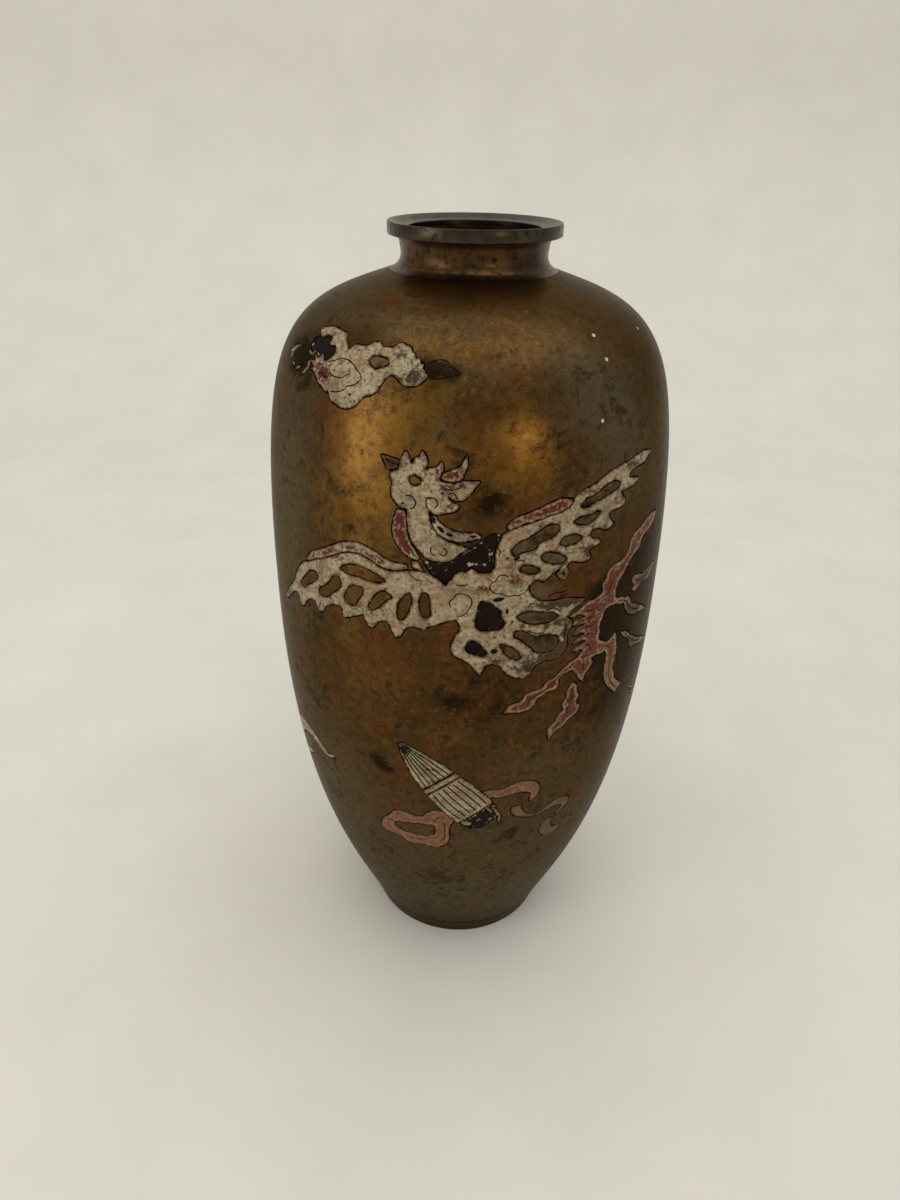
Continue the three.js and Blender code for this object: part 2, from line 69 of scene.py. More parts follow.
# Inlays and their pockets
copper_ease = 0.04
inlay_thickness = 0.7
bedding_gap = 0.3
groove_depth = 0.4
lost_drop = 0.25
outline_gap = 0.36
cell_edge = 1.2
fine_cell_edge = 0.7
outline_step = 0.5
outline_steps = 8
trace_steps = 6
strap_steps = 12
oval_steps = 24
oval_unevenness = 0.12
clear_share = 0.93
least_points = 6
raggedness = 0.2
sway_scale = 0.9
sway_share = 1.4
nick_scale = 2.3
nick_share = 0.8
scratch_depth = 0.25
cutter_rise = 0.5
graver_width = 0.32
least_width = 0.3

# Keeps the cell lines off the points of the outlines
cell_shift = 0.013

# How near the wall's own surface a face lies and how squarely it looks out, to be shaded as part of the wall
body_face_depth = 0.1
plaque_face_depth = 0.35
outward_share = 0.8

# Depths between which the body's faces belong to a pocket
pocket_depths = (0.1, 1.3)

# Origin of the drawing: distance round the belly from the front, and length up the wall
sheet = (0, 3.75)

# Marks a sharp point of an outline
TIP = 1

# Floor that curves up into a back wall, in metres
floor_half = 1.2
floor_shift = -0.45
floor_drop = 0.00005
back_height = 1.6
back_curve = 0.3

# Camera, matched to the photo: metres, degrees and millimetres of lens
camera_place = (0, -0.21728, 0.23552)
camera_pitch = 29.693
camera_roll = 1.068
camera_yaw = -1.147
lens_length = 24.96
sensor_width = 36


def reach(start, run, rise, pull):
    return start + Vector((run, rise)).normalized() * pull


lower_wall = (foot, reach(foot, 0.32, 1, 23.6), reach(belly, 0, -1, 75), belly)
upper_wall = (belly, reach(belly, 0, 1, 20.5), reach(shoulder, 0.25, -1, 14.8), shoulder)
shoulder_turn = (shoulder, reach(shoulder, -0.25, 1, 19.4), reach(seat, 1, -0.35, 15.4), seat)


def on_cubic(curve, t):
    a, b, c, d = curve
    s = 1 - t
    return a * s ** 3 + b * 3 * s * s * t + c * 3 * s * t * t + d * t ** 3


def wall_table():
    """Length, radius, height and outward normal along the whole wall line."""
    spots = [lower_wall[0].copy()]
    for curve in (lower_wall, upper_wall, shoulder_turn):
        spots += [on_cubic(curve, step / wall_samples) for step in range(1, wall_samples + 1)]
    radius = np.array([spot.x for spot in spots])
    height = np.array([spot.y for spot in spots])
    run, rise = np.gradient(radius), np.gradient(height)
    size = np.hypot(run, rise)
    length = np.concatenate([[0], np.cumsum(np.hypot(np.diff(radius), np.diff(height)))])
    return length, radius, height, rise / size, -run / size


wall_length, wall_radius, wall_height, wall_out, wall_up = wall_table()


def wall_spot(along, depth=0.0):
    """Radius and height at a length along the wall line, moved outwards by a depth."""
    out = np.interp(along, wall_length, wall_out)
    up = np.interp(along, wall_length, wall_up)
    radius = np.interp(along, wall_length, wall_radius) + out * depth
    return radius, np.interp(along, wall_length, wall_height) + up * depth


def wall_normal(place):
    """Outward normal of the vessel beside a point, in metres."""
    out = np.interp(place.z / MM, wall_height, wall_out)
    up = np.interp(place.z / MM, wall_height, wall_up)
    turn = math.atan2(place.x, -place.y)
    return Vector((out * math.sin(turn), -out * math.cos(turn), up))


def radius_at(height):
    return float(np.interp(height, wall_height, wall_radius))


# Meshes

def add_object(name, bm):
    mesh = bpy.data.meshes.new(name)
    bm.to_mesh(mesh)
    bm.free()
    thing = bpy.data.objects.new(name, mesh)
    bpy.context.scene.collection.objects.link(thing)
    return thing


def turn_up(name, profile, steps, closed=True):
    """Profile of radius and height points in millimetres, spun into a closed solid."""
    bm = bmesh.new()
    verts = [bm.verts.new((radius * MM, 0, height * MM)) for radius, height in profile]
    pairs = list(zip(verts, verts[1:]))
    if closed:
        pairs.append((verts[-1], verts[0]))
    edges = [bm.edges.new(pair) for pair in pairs]
    bmesh.ops.spin(bm, geom=verts + edges, cent=(0, 0, 0), axis=(0, 0, 1), angle=2 * math.pi,
                   steps=steps, use_merge=True)
    bmesh.ops.remove_doubles(bm, verts=bm.verts, dist=1e-7)
    bmesh.ops.recalc_face_normals(bm, faces=bm.faces)
    return add_object(name, bm)


def smooth_line(points, steps_between, closed):
    """Smooth line through points."""
    count = len(points)
    line = []
    spans = count if closed else count - 1
    for index in range(spans):
        if closed:
            before, start = points[index - 1], points[index]
            end, after = points[(index + 1) % count], points[(index + 2) % count]
        else:
            before, start = points[max(index - 1, 0)], points[index]
            end, after = points[index + 1], points[min(index + 2, count - 1)]
        for step in range(steps_between):
            t = step / steps_between
            line.append(start * (2 * t ** 3 - 3 * t * t + 1) + end * (3 * t * t - 2 * t ** 3)
                        + (end - before) * 0.5 * (t ** 3 - 2 * t * t + t)
                        + (after - start) * 0.5 * (t ** 3 - t * t))
    if not closed:
        line.append(points[-1].copy())
    return line


def resampled(line):
    """The same closed line with points evenly spaced."""
    points = np.array([[p.x, p.y] for p in line + [line[0]]])
    size = np.concatenate([[0], np.cumsum(np.hypot(*np.diff(points, axis=0).T))])
    count = max(least_points, int(round(size[-1] / outline_step)))
    at = np.linspace(0, size[-1], count + 1)[:-1]
    across, upward = (np.interp(at, size, points[:, axis]) for axis in range(2))
    return [Vector(spot) for spot in zip(across, upward)]


def flat(points):
    return [Vector(point[:2]) for point in points]


def smooth(points):
    """Closed smooth outline."""
    return resampled(smooth_line(flat(points), outline_steps, True))


def strap(knots):
    """Closed outline with a width at every knot of its centre line, each [u, v, width]."""
    rows = smooth_line([Vector(knot) for knot in knots], strap_steps, False)
    left, right = [], []
    for index, row in enumerate(rows):
        ahead = rows[min(index + 1, len(rows) - 1)] - rows[max(index - 1, 0)]
        along = ahead.xy.normalized()
        half = max(row.z, least_width) / 2
        left.append(Vector((row.x - along.y * half, row.y + along.x * half)))
        right.append(Vector((row.x + along.y * half, row.y - along.x * half)))
    return resampled(right + left[::-1])


def oval(u, v, half_length, half_width, tilt):
    """Oval of slightly uneven width, as a hand cuts it."""
    turn = math.radians(tilt)
    along, across = Vector((math.cos(turn), math.sin(turn))), Vector((-math.sin(turn), math.cos(turn)))
    spots = []
    for step in range(oval_steps):
        angle = math.tau * step / oval_steps
        reach_out = math.cos(angle) * half_length
        side = math.sin(angle) * half_width * (1 + oval_unevenness * math.sin(3 * angle + u))
        spots.append(Vector((u, v)) + along * reach_out + across * side)
    return resampled(spots)


def signed_area(loop):
    return sum(a.x * b.y - b.x * a.y for a, b in zip(loop, loop[1:] + loop[:1])) / 2


def moved_out(loop, hole=False):
    """Outline moved off its material by the outline gap, without the points that come too close."""
    turned = loop if (signed_area(loop) > 0) != hole else loop[::-1]
    moved = []
    for index, spot in enumerate(turned):
        ahead = (turned[(index + 1) % len(turned)] - turned[index - 1]).normalized()
        moved.append(spot + Vector((ahead.y, -ahead.x)) * outline_gap)
    base = np.array([[p.x, p.y] for p in turned])
    step = np.roll(base, -1, axis=0) - base
    kept = []
    for spot in moved:
        offset = np.array([spot.x, spot.y]) - base
        share = np.clip((offset * step).sum(1) / np.maximum((step * step).sum(1), 1e-9), 0, 1)
        gap = np.hypot(*(offset - step * share[:, None]).T).min()
        if gap > outline_gap * clear_share:
            kept.append(spot)
    return kept


def waver(spot, scale, layer):
    return noise.noise(Vector((spot.x * scale, spot.y * scale, layer)))


def ragged(loop):
    """Outline with a hand-cut waver: a slow sway and finer nicks."""
    wavered = []
    for index, spot in enumerate(loop):
        ahead = (loop[(index + 1) % len(loop)] - loop[index - 1]).normalized()
        shift = waver(spot, sway_scale, 3.1) * sway_share + waver(spot, nick_scale, 7.7) * nick_share
        wavered.append(spot + Vector((ahead.y, -ahead.x)) * raggedness * shift)
    return wavered


def slab(loops, place, bottom, top, cell=cell_edge):
    """Flat outlines filled, cut into small cells, thickened and bent onto the wall."""
    bm = bmesh.new()
    for loop in loops:
        verts = [bm.verts.new((spot.x, spot.y, top)) for spot in loop]
        for a, b in zip(verts, verts[1:] + verts[:1]):
            bm.edges.new((a, b))
    bmesh.ops.triangle_fill(bm, use_beauty=True, use_dissolve=False, edges=bm.edges, normal=(0, 0, 1))
    low = Vector((min(v.co[k] for v in bm.verts) for k in range(2)))
    high = Vector((max(v.co[k] for v in bm.verts) for k in range(2)))
    for axis, normal in ((0, (1, 0, 0)), (1, (0, 1, 0))):
        for cut in range(math.ceil(low[axis] / cell), math.floor(high[axis] / cell) + 1):
            at = [0.0, 0.0, 0.0]
            at[axis] = cut * cell + cell_shift
            bmesh.ops.bisect_plane(bm, geom=bm.verts[:] + bm.edges[:] + bm.faces[:], dist=1e-4,
                                   plane_co=at, plane_no=normal)
    lowered = bmesh.ops.extrude_face_region(bm, geom=bm.faces[:])
    below = [item for item in lowered["geom"] if isinstance(item, bmesh.types.BMVert)]
    bmesh.ops.translate(bm, verts=below, vec=(0, 0, bottom - top))
    bmesh.ops.recalc_face_normals(bm, faces=bm.faces)
    spots = np.array([vert.co for vert in bm.verts])
    turn = (place[0] + spots[:, 0]) / belly.x
    radius, height = wall_spot(place[1] + spots[:, 1], spots[:, 2])
    bent = np.stack([radius * np.sin(turn), -radius * np.cos(turn), height], axis=1) * MM
    for vert, spot in zip(bm.verts, bent):
        vert.co = spot
    return bm


def cut_away(thing, cutters):
    """Takes the cutters out of a piece for good."""
    for cutter in cutters:
        step = thing.modifiers.new(cutter.name, "BOOLEAN")
        step.operation = "DIFFERENCE"
        step.solver = "MANIFOLD"
        step.object = cutter
    ready = bpy.data.meshes.new_from_object(thing.evaluated_get(bpy.context.evaluated_depsgraph_get()))
    thing.modifiers.clear()
    thing.data = ready
    return thing


def boxes_meet(a, b):
    low_a, high_a = a
    low_b, high_b = b
    return all(low_a[k] <= high_b[k] and low_b[k] <= high_a[k] for k in range(3))


def box_of(thing):
    spots = np.empty(len(thing.data.vertices) * 3)
    thing.data.vertices.foreach_get("co", spots)
    spots = spots.reshape(-1, 3)
    return spots.min(0), spots.max(0)


def soft_face(thing, face_depth):
    """True wall normals on the faces that lie in the wall's surface, plain ones on the cut sides."""
    mesh = thing.data
    normals = [Vector((0, 0, 0))] * len(mesh.loops)
    places = [vert.co.copy() for vert in mesh.vertices]
    for face in mesh.polygons:
        face.use_smooth = True
        middle = face.center
        wall = wall_normal(middle)
        off = (Vector((math.hypot(middle.x, middle.y), middle.z)) / MM)
        close = abs(off.x - radius_at(off.y)) * wall.xy.length < face_depth
        on_wall = close and face.normal.dot(wall) > outward_share
        for loop in face.loop_indices:
            spot = places[mesh.loops[loop].vertex_index]
            normals[loop] = wall_normal(spot) if on_wall else face.normal.copy()
    mesh.normals_split_custom_set(normals)


# Marks that the finishes read: where a point lies on the drawing, how deep, and which stains, painted sheen
# and painted reflection reach it

def on_sheet(mesh):
    """Place of every vertex on the drawing and its depth under the wall, in millimetres."""
    spots = np.empty(len(mesh.vertices) * 3)
    mesh.vertices.foreach_get("co", spots)
    x, y, height = spots.reshape(-1, 3).T / MM
    round_front = np.arctan2(x, -y) * belly.x
    up_wall = np.interp(height, wall_height, wall_length)
    slope = np.interp(height, wall_height, wall_out)
    depth = (np.interp(height, wall_height, wall_radius) - np.hypot(x, y)) * slope
    return np.stack([round_front, up_wall - sheet[1]], axis=1), depth


def oval_strength(places, oval_marks):
    """Strength at every place of soft oval marks (stains, painted sheen and painted reflection), each [u, v,
    half width, half height, strength].
    """
    total = np.zeros(len(places))
    for u, v, half_width, half_height, strength in oval_marks:
        offset = (places - (u, v)) / (half_width, half_height)
        total += strength * np.exp(-(offset ** 2).sum(axis=1))
    return np.clip(total, 0, 1)


def edge_distance(places, loops):
    """Distance of every place to the nearest outline."""
    nearest = np.full(len(places), 9.0)
    for loop in loops:
        base = np.array([[p.x, p.y] for p in loop])
        step = np.roll(base, -1, axis=0) - base
        offset = places[:, None] - base
        share = np.clip((offset * step).sum(2) / np.maximum((step * step).sum(1), 1e-9), 0, 1)
        gap = np.linalg.norm(offset - step * share[:, :, None], axis=2).min(axis=1)
        nearest = np.minimum(nearest, gap)
    return nearest


def mark(mesh, name, values):
    mesh.attributes.new(name, "FLOAT", "POINT").data.foreach_set("value", values.astype(np.float32))


# Stains on the inlays, and on the body patina stains with painted sheen and painted reflection: [u, v, half
# width, half height, strength]
red_stains = [
    (-41, 188.2, 2.4, 2.2, 1.2), (-44.4, 189.4, 1.6, 1, 0.7), (-29, 188, 0.9, 0.8, 0.7),
    (-37, 187.2, 1.6, 0.8, 0.4), (-3.6, 171.3, 2.8, 2.1, 2.6), (-4, 164.6, 1.8, 1.2, 0.7),
    (-6.6, 173, 1, 0.8, 0.6), (-5, 168.2, 1.4, 1.2, 0.5), (-15.3, 158.5, 2.4, 4.2, 1.5),
    (-14, 154.4, 2, 2.4, 1.2), (-16.4, 162, 1, 1, 0.8), (-35, 148.2, 4.2, 1.6, 1.2),
    (-21, 150, 3.2, 1.3, 1.1), (-28, 151, 4, 1.2, 0.8), (-40.5, 145, 2.4, 1.4, 0.9),
    (-26, 137, 3, 1.8, 0.7), (-47.5, 140, 2, 2, 0.7), (-33, 143.8, 2, 1, 0.5), (-14, 134, 2, 1.6, 0.5),
    (4, 145, 3.4, 1.4, 0.7), (12, 147.4, 2, 2.2, 0.7), (10, 150.5, 2, 2, 0.5), (31, 166, 6, 1, 0.8),
    (44, 169.6, 5, 1, 0.5), (26, 153, 2.4, 1.2, 0.4), (38, 161.6, 2, 1.6, 0.6), (28, 138.4, 2.4, 1, 0.6),
    (-9, 146.4, 2, 1.2, 0.5), (27, 158, 2, 1, 0.4), (16, 160.4, 3, 0.8, 0.4),
]
smoke_stains = [
    (20, 134.6, 6, 1.6, 0.6), (16, 128.6, 3, 2.6, 0.45), (22.6, 150.6, 3, 2.6, 0.45),
    (8, 121.6, 4, 1.4, 0.4), (-18, 173, 3, 1.6, 1.2), (22.5, 126, 4.4, 3, 1.3), (25.4, 131.6, 1.8, 4, 0.8),
    (21, 139.4, 3, 1.2, 0.8), (17, 122.8, 4, 1.6, 1.1), (26, 139.6, 4, 1.2, 0.8), (17.4, 140, 5, 1.4, 0.7),
    (7, 125.6, 2, 1.4, 0.8), (30, 151.6, 3, 2.6, 0.75), (34, 157, 3, 2, 0.4), (41, 162.4, 3, 2, 0.5),
    (44, 169, 3, 1.2, 0.7), (22.6, 147, 2.4, 2, 0.9), (16.6, 147, 2, 1, 0.7), (-55, 129.4, 3, 2, 0.6),
    (-48, 134, 2, 1.6, 0.4), (-22.6, 132.6, 2, 1.2, 0.45), (-14, 191, 2.6, 2.2, 0.8),
    (-19, 195.4, 3, 1.4, 0.5), (-30, 194.6, 2.4, 1, 0.4), (-44, 197.8, 3, 1, 0.4),
    (3.6, 123.6, 1.4, 1.4, 0.3), (-15.4, 97.4, 1.8, 2.2, 1.2), (-8, 90, 2, 2, 0.25), (50, 129.4, 7, 3, 1.2),
    (54, 118.6, 8, 4, 1.2), (54, 137, 6, 2.4, 0.8), (29, 131.2, 1.6, 6, 0.5),
]
ochre_stains = [
    (41.6, 114, 3, 7, 0.9), (46, 107.6, 3, 2.4, 0.9), (39, 122.4, 3, 1.6, 0.5), (17.4, 73.8, 2.4, 3, 0.8),
    (-46, 198, 5, 1.6, 0.6), (-39, 196.6, 2, 1.6, 0.5), (-33, 187, 4, 1.4, 0.3), (44, 137, 2, 3, 0.4),
]
pale_stains = [
    (1.6, 151.2, 1.6, 0.8, 1.0), (-4.4, 149.8, 1.2, 0.7, 0.8), (5.2, 154.6, 0.7, 1.2, 0.8),
    (4.4, 151.4, 0.6, 1.6, 0.7),
]
# Painted sheen: golden ovals where the lamps' reflections lie on the belly and shoulder, with a painted
# highlight right of the crest, over a golden tone of the patina
sheen_and_gold_patina = [
    (-22, 170, 13, 20, 0.95), (-26, 124, 12, 20, 0.45), (13, 176, 9, 10, 0.95), (-4, 174, 12, 10, 0.5),
    (-10, 106, 12, 8, 0.3), (0, 199, 14, 4, 0.25), (-10, 186, 10, 6, 0.4),
]
# Dark ovals on the body: near-black tarnish blotches, and over the right side and lower front a painted dark
# reflection of the room
dark_patina_and_reflection = [
    (17, 155.4, 5, 3, 0.5), (31, 162, 8, 3, 0.5), (18, 130.4, 5, 3, 0.55), (17.6, 136.8, 5, 1.6, 0.5),
    (5, 165.2, 4.5, 3.2, 1.0), (44, 128, 10, 10, 1.9), (54, 120, 13, 18, 1.9), (58, 138, 10, 14, 1.6),
    (37, 139, 8, 5, 0.8), (8, 116, 14, 10, 0.5), (34, 104, 12, 14, 0.4), (-22, 89.6, 2, 2.7, 1.2),
    (-19.5, 87.4, 1.8, 1.2, 0.9), (-12, 107, 4, 2.4, 0.5), (-3, 113, 6, 3, 0.4), (24, 172, 5, 9, 0.35),
    (-45, 110, 9, 20, 0.35), (2, 60, 4, 2, 0.4), (16, 63.6, 4, 3, 0.5), (0, 40, 30, 14, 0.15),
    (-6, 192.6, 4.4, 1.7, 1.1), (28, 148, 5, 4, 0.3), (-30, 158, 6, 4, 0.3), (2, 156.8, 5, 2, 0.4),
    (-54, 190.4, 7, 4.6, 1.6), (-11, 193.4, 4, 2.4, 0.9), (-16, 187.4, 5, 1.4, 0.4),
]
# Grey ovals on the body: grey tarnish film, and down the left flank a painted pale grazing sheen
grey_film_and_sheen = [
    (-56, 150, 12, 60, 0.8), (0, 56, 60, 22, 0.6), (-40, 74, 14, 26, 0.7), (34, 186, 12, 12, 1.0),
    (42, 172, 10, 12, 0.7), (-50, 165, 8, 30, 0.5), (-30, 204, 16, 4, 0.5), (-24.5, 193.4, 3, 1.6, 1.6),
    (0, 24, 60, 18, 1.2), (-6, 181, 4, 2.4, 0.4), (17, 155, 8, 4, 1.1), (31, 162, 8, 4, 1.1),
    (23, 151, 6, 3, 0.9), (18, 130.6, 6, 4, 1.1), (17.6, 136.8, 6, 2, 1.1), (18, 144, 3, 2, 1.0),
    (26, 90, 14, 12, 0.4),
]


def mark_plaque(name):
    plaque, loops = plaques[name][0], plaque_loops[name]
    places, depth = on_sheet(plaque.data)
    mark(plaque.data, "edge", edge_distance(places, loops))
    mark(plaque.data, "depth", depth)
    for label, oval_marks in (("red", red_stains), ("smoke", smoke_stains), ("ochre", ochre_stains),
                          ("pale", pale_stains)):
        mark(plaque.data, label, oval_strength(places, oval_marks))


# Pieces

pockets = []
plaques = {}
plaque_loops = {}


def lay(name, outline, finish, cells=(), place=sheet, drop=0.0, lines=(), chips=(), stands_for=()):
    """One inlay: its plaque, trimmed to clear the earlier pockets, and the pocket that it lies in."""
    loops = [ragged(loop) for loop in (outline, *cells)]
    plaque = add_object(name, slab(loops, place, -inlay_thickness, -drop, fine_cell_edge))
    grown = [moved_out(outline)] + [moved_out(cell, True) for cell in cells]
    grown = [loop for loop in grown if len(loop) >= least_points]
    pocket = add_object(name + "_pocket", slab(grown, place, -inlay_thickness - bedding_gap, cutter_rise))
    box = box_of(plaque)
    cutters = [other for other, other_box in pockets if boxes_meet(box, other_box)]
    cuts = [strap(line) for line in lines] + list(chips)
    gravers = [add_object(name + "_groove", slab([loop], place, -groove_depth, cutter_rise)) for loop in cuts]
    cut_away(plaque, cutters + gravers)
    for graver in gravers:
        bpy.data.objects.remove(graver)
    pockets.append((pocket, box_of(pocket)))
    plaques[name] = (plaque, finish, stands_for or (name,))
    shift = Vector(place) - Vector(sheet)
    plaque_loops[name] = [[spot + shift for spot in loop] for loop in loops]


def engrave(lines):
    """Lines cut straight into the copper beside the inlays."""
    for line in lines:
        cutter = add_object("engraved_line", slab([strap(line)], sheet, -scratch_depth, cutter_rise))
        pockets.append((cutter, box_of(cutter)))


def traced(points):
    """Closed outline, smooth but for the points marked TIP."""
    first = next(index for index, point in enumerate(points) if len(point) == 3)
    line, run = [], []
    for point in points[first:] + points[:first + 1]:
        run.append(Vector(point[:2]))
        if len(point) == 3 and len(run) > 1:
            line += smooth_line(run, trace_steps, False)[:-1]
            run = run[-1:]
    return resampled(line)


def scored(*lines, width=graver_width):
    """Graver lines of one width."""
    return [[(u, v, width) for u, v in line] for line in lines]


def lay_scraps(name, stands_for, *runs):
    """Pale slivers left of a lost inlay, each [u, v, width] along its middle."""
    for number, knots in enumerate(runs, 1):
        lay(f"{name}_{number}", strap(knots), "cream", stands_for=stands_for)


def lay_cloud():
    lay("cloud_head", traced([
        (-51.4, 197.3, TIP), (-50.7, 198.2), (-49.4, 198.6), (-47.9, 198.9), (-46.1, 199.2), (-44.3, 199.1),
        (-42.9, 198.9), (-41.4, 198.7), (-40, 198.6), (-38.9, 198.2), (-38.4, 197.3), (-37.5, 196.6),
        (-36.4, 195.7), (-35.5, 194.9, TIP), (-34.3, 195.9), (-32.9, 196.4), (-31.3, 196.3), (-29.6, 196.6),
        (-28.6, 197.5), (-27, 197.9), (-25.7, 197.6), (-24.9, 196.9), (-23.2, 196.9), (-21.6, 197.1),
        (-20.7, 198), (-19.3, 198.3), (-17.9, 197.9), (-16.4, 197.4, TIP), (-15.8, 196.4),
        (-14.9, 195.9, TIP), (-14.6, 194.9), (-13.3, 195.1, TIP), (-13, 194.2), (-11.9, 193.9, TIP),
        (-12.4, 193), (-11.5, 192.6, TIP), (-11.7, 192), (-10.7, 191.6, TIP), (-11.3, 190.6),
        (-12.7, 189.6), (-14.3, 189.1), (-16.1, 189.2), (-17.4, 189.7), (-18.6, 190.6), (-19.9, 191),
        (-20.9, 190.7), (-21.8, 189.6), (-22.5, 188.2), (-23.4, 187), (-25, 186.1), (-26.4, 185.7),
        (-27.3, 184.9), (-28.2, 183.7), (-29.6, 182.9), (-31.4, 182.4), (-33.6, 182.5), (-35, 183),
        (-36.1, 183.3), (-37.1, 184.1), (-37.6, 184.9, TIP), (-39.3, 185), (-40.7, 185.6), (-42, 186.1),
        (-42.9, 186.8), (-43.9, 187.3), (-45, 188.2), (-47.2, 188.5, TIP), (-45.9, 189.3),
        (-48.6, 190.2, TIP), (-46.4, 190.5), (-47.4, 191.9, TIP), (-45, 191.3), (-44, 192.8, TIP),
        (-43.2, 191.6), (-41.8, 191.1), (-40.4, 192), (-39.5, 193), (-39.6, 194.1), (-40.7, 194.9),
        (-42.5, 194.9), (-43.7, 195.3), (-43.2, 195.9), (-43.7, 196.6), (-45, 196.9), (-46.8, 196.9),
        (-47.9, 196.4), (-48.7, 196), (-49.9, 196.4), (-50.4, 197),
    ]), "cream", [oval(-24.5, 193.4, 3.1, 1.5, 0)], lines=scored(
        [(-40.9, 191), (-38.6, 191.8), (-36.4, 192.6), (-34.3, 192.6), (-32.1, 192), (-30.7, 191.1),
         (-29.3, 190.4), (-28.2, 189.3), (-28.9, 188.4), (-30.4, 187.5), (-32.1, 187), (-32.9, 186.1),
         (-35, 185.4), (-37.2, 185.2)],
        [(-39.3, 191.2), (-39.7, 190.2), (-39.2, 189.4), (-38, 188.6), (-36.1, 188.4), (-34.3, 188.6),
         (-33.2, 189.3), (-32.3, 189.7), (-32.6, 190.5)],
        [(-45, 190), (-43.4, 190.2), (-42, 189.5)],
        [(-43.6, 187.9), (-41.8, 188.4), (-40.4, 187.8), (-38.8, 188)],
    ), chips=[oval(-30.6, 185.5, 0.45, 0.35, 0), oval(-37.5, 189.7, 0.4, 0.2, 20)],
        stands_for=("cloud_head", "cloud_bank", "cloud_curl"))
    lay("cloud_wisp", traced([
        (-57.5, 192.2, TIP), (-59.6, 191.8), (-61.4, 190.8), (-62.5, 189.8, TIP), (-60.9, 189.4),
        (-60, 188.1, TIP), (-59.6, 189.3), (-60, 190.3), (-58.8, 191.1),
    ]), "cream")
    lay_scraps("cloud_scrap", ("cloud_lost_bed",),
               [(-48.9, 189.9, 0.7), (-48.4, 188.6, 1), (-49.6, 187.3, 0.8), (-50.4, 186.8, 0.4)],
               [(-54.4, 186.9, 0.4), (-53.6, 187.5, 0.7), (-52.6, 187.8, 0.4)],
               [(-57.6, 188, 0.4), (-56.6, 187.8, 0.6), (-55.8, 187.6, 0.4)],
               [(-50.8, 192, 0.3), (-49, 191.6, 0.5), (-47.4, 192.6, 0.3)])
    lay("cloud_lost_bed", smooth([
        (-49.8, 196), (-46, 198), (-40.5, 195.8), (-39, 193), (-41.6, 190), (-44.8, 190.2), (-46.6, 191.6),
        (-48.2, 192.4), (-50.6, 192.6), (-51.6, 194.2), (-51, 195.4),
    ]), "lost", drop=lost_drop)
    engrave(scored(
        [(-11, 194.2), (-9.4, 194.9), (-7.6, 195.2), (-6, 194.8), (-4.6, 193.4), (-2.4, 192.4)],
        [(-10.4, 191.2), (-8, 191), (-5.4, 191.6), (-2.4, 192.2)],
        [(-10.6, 193), (-9, 192.4), (-7.6, 193), (-6.6, 193.6)],
    ))


def lay_streamers():
    place = (-60, 81.8)
    lay("streamer_upper", strap([
        (20.5, 4.6, 0.8), (17, 3, 1.6), (13, 4.4, 2.6), (8, 6, 3.4), (2, 5, 4.5), (-4, 1, 5.5),
        (-10, -3.5, 5), (-16, -5.5, 3), (-21, -4.5, 1),
    ]), "cream", place=place, lines=scored([(12, 4), (7, 5.4), (1, 4.2), (-5, 0), (-10, -3.8)]))
    lay("streamer_lower", strap([
        (6, -3.5, 0.8), (0, -6.5, 2.4), (-6, -10.5, 3.6), (-12, -14.5, 3), (-18, -16, 1),
    ]), "cream", place=place)


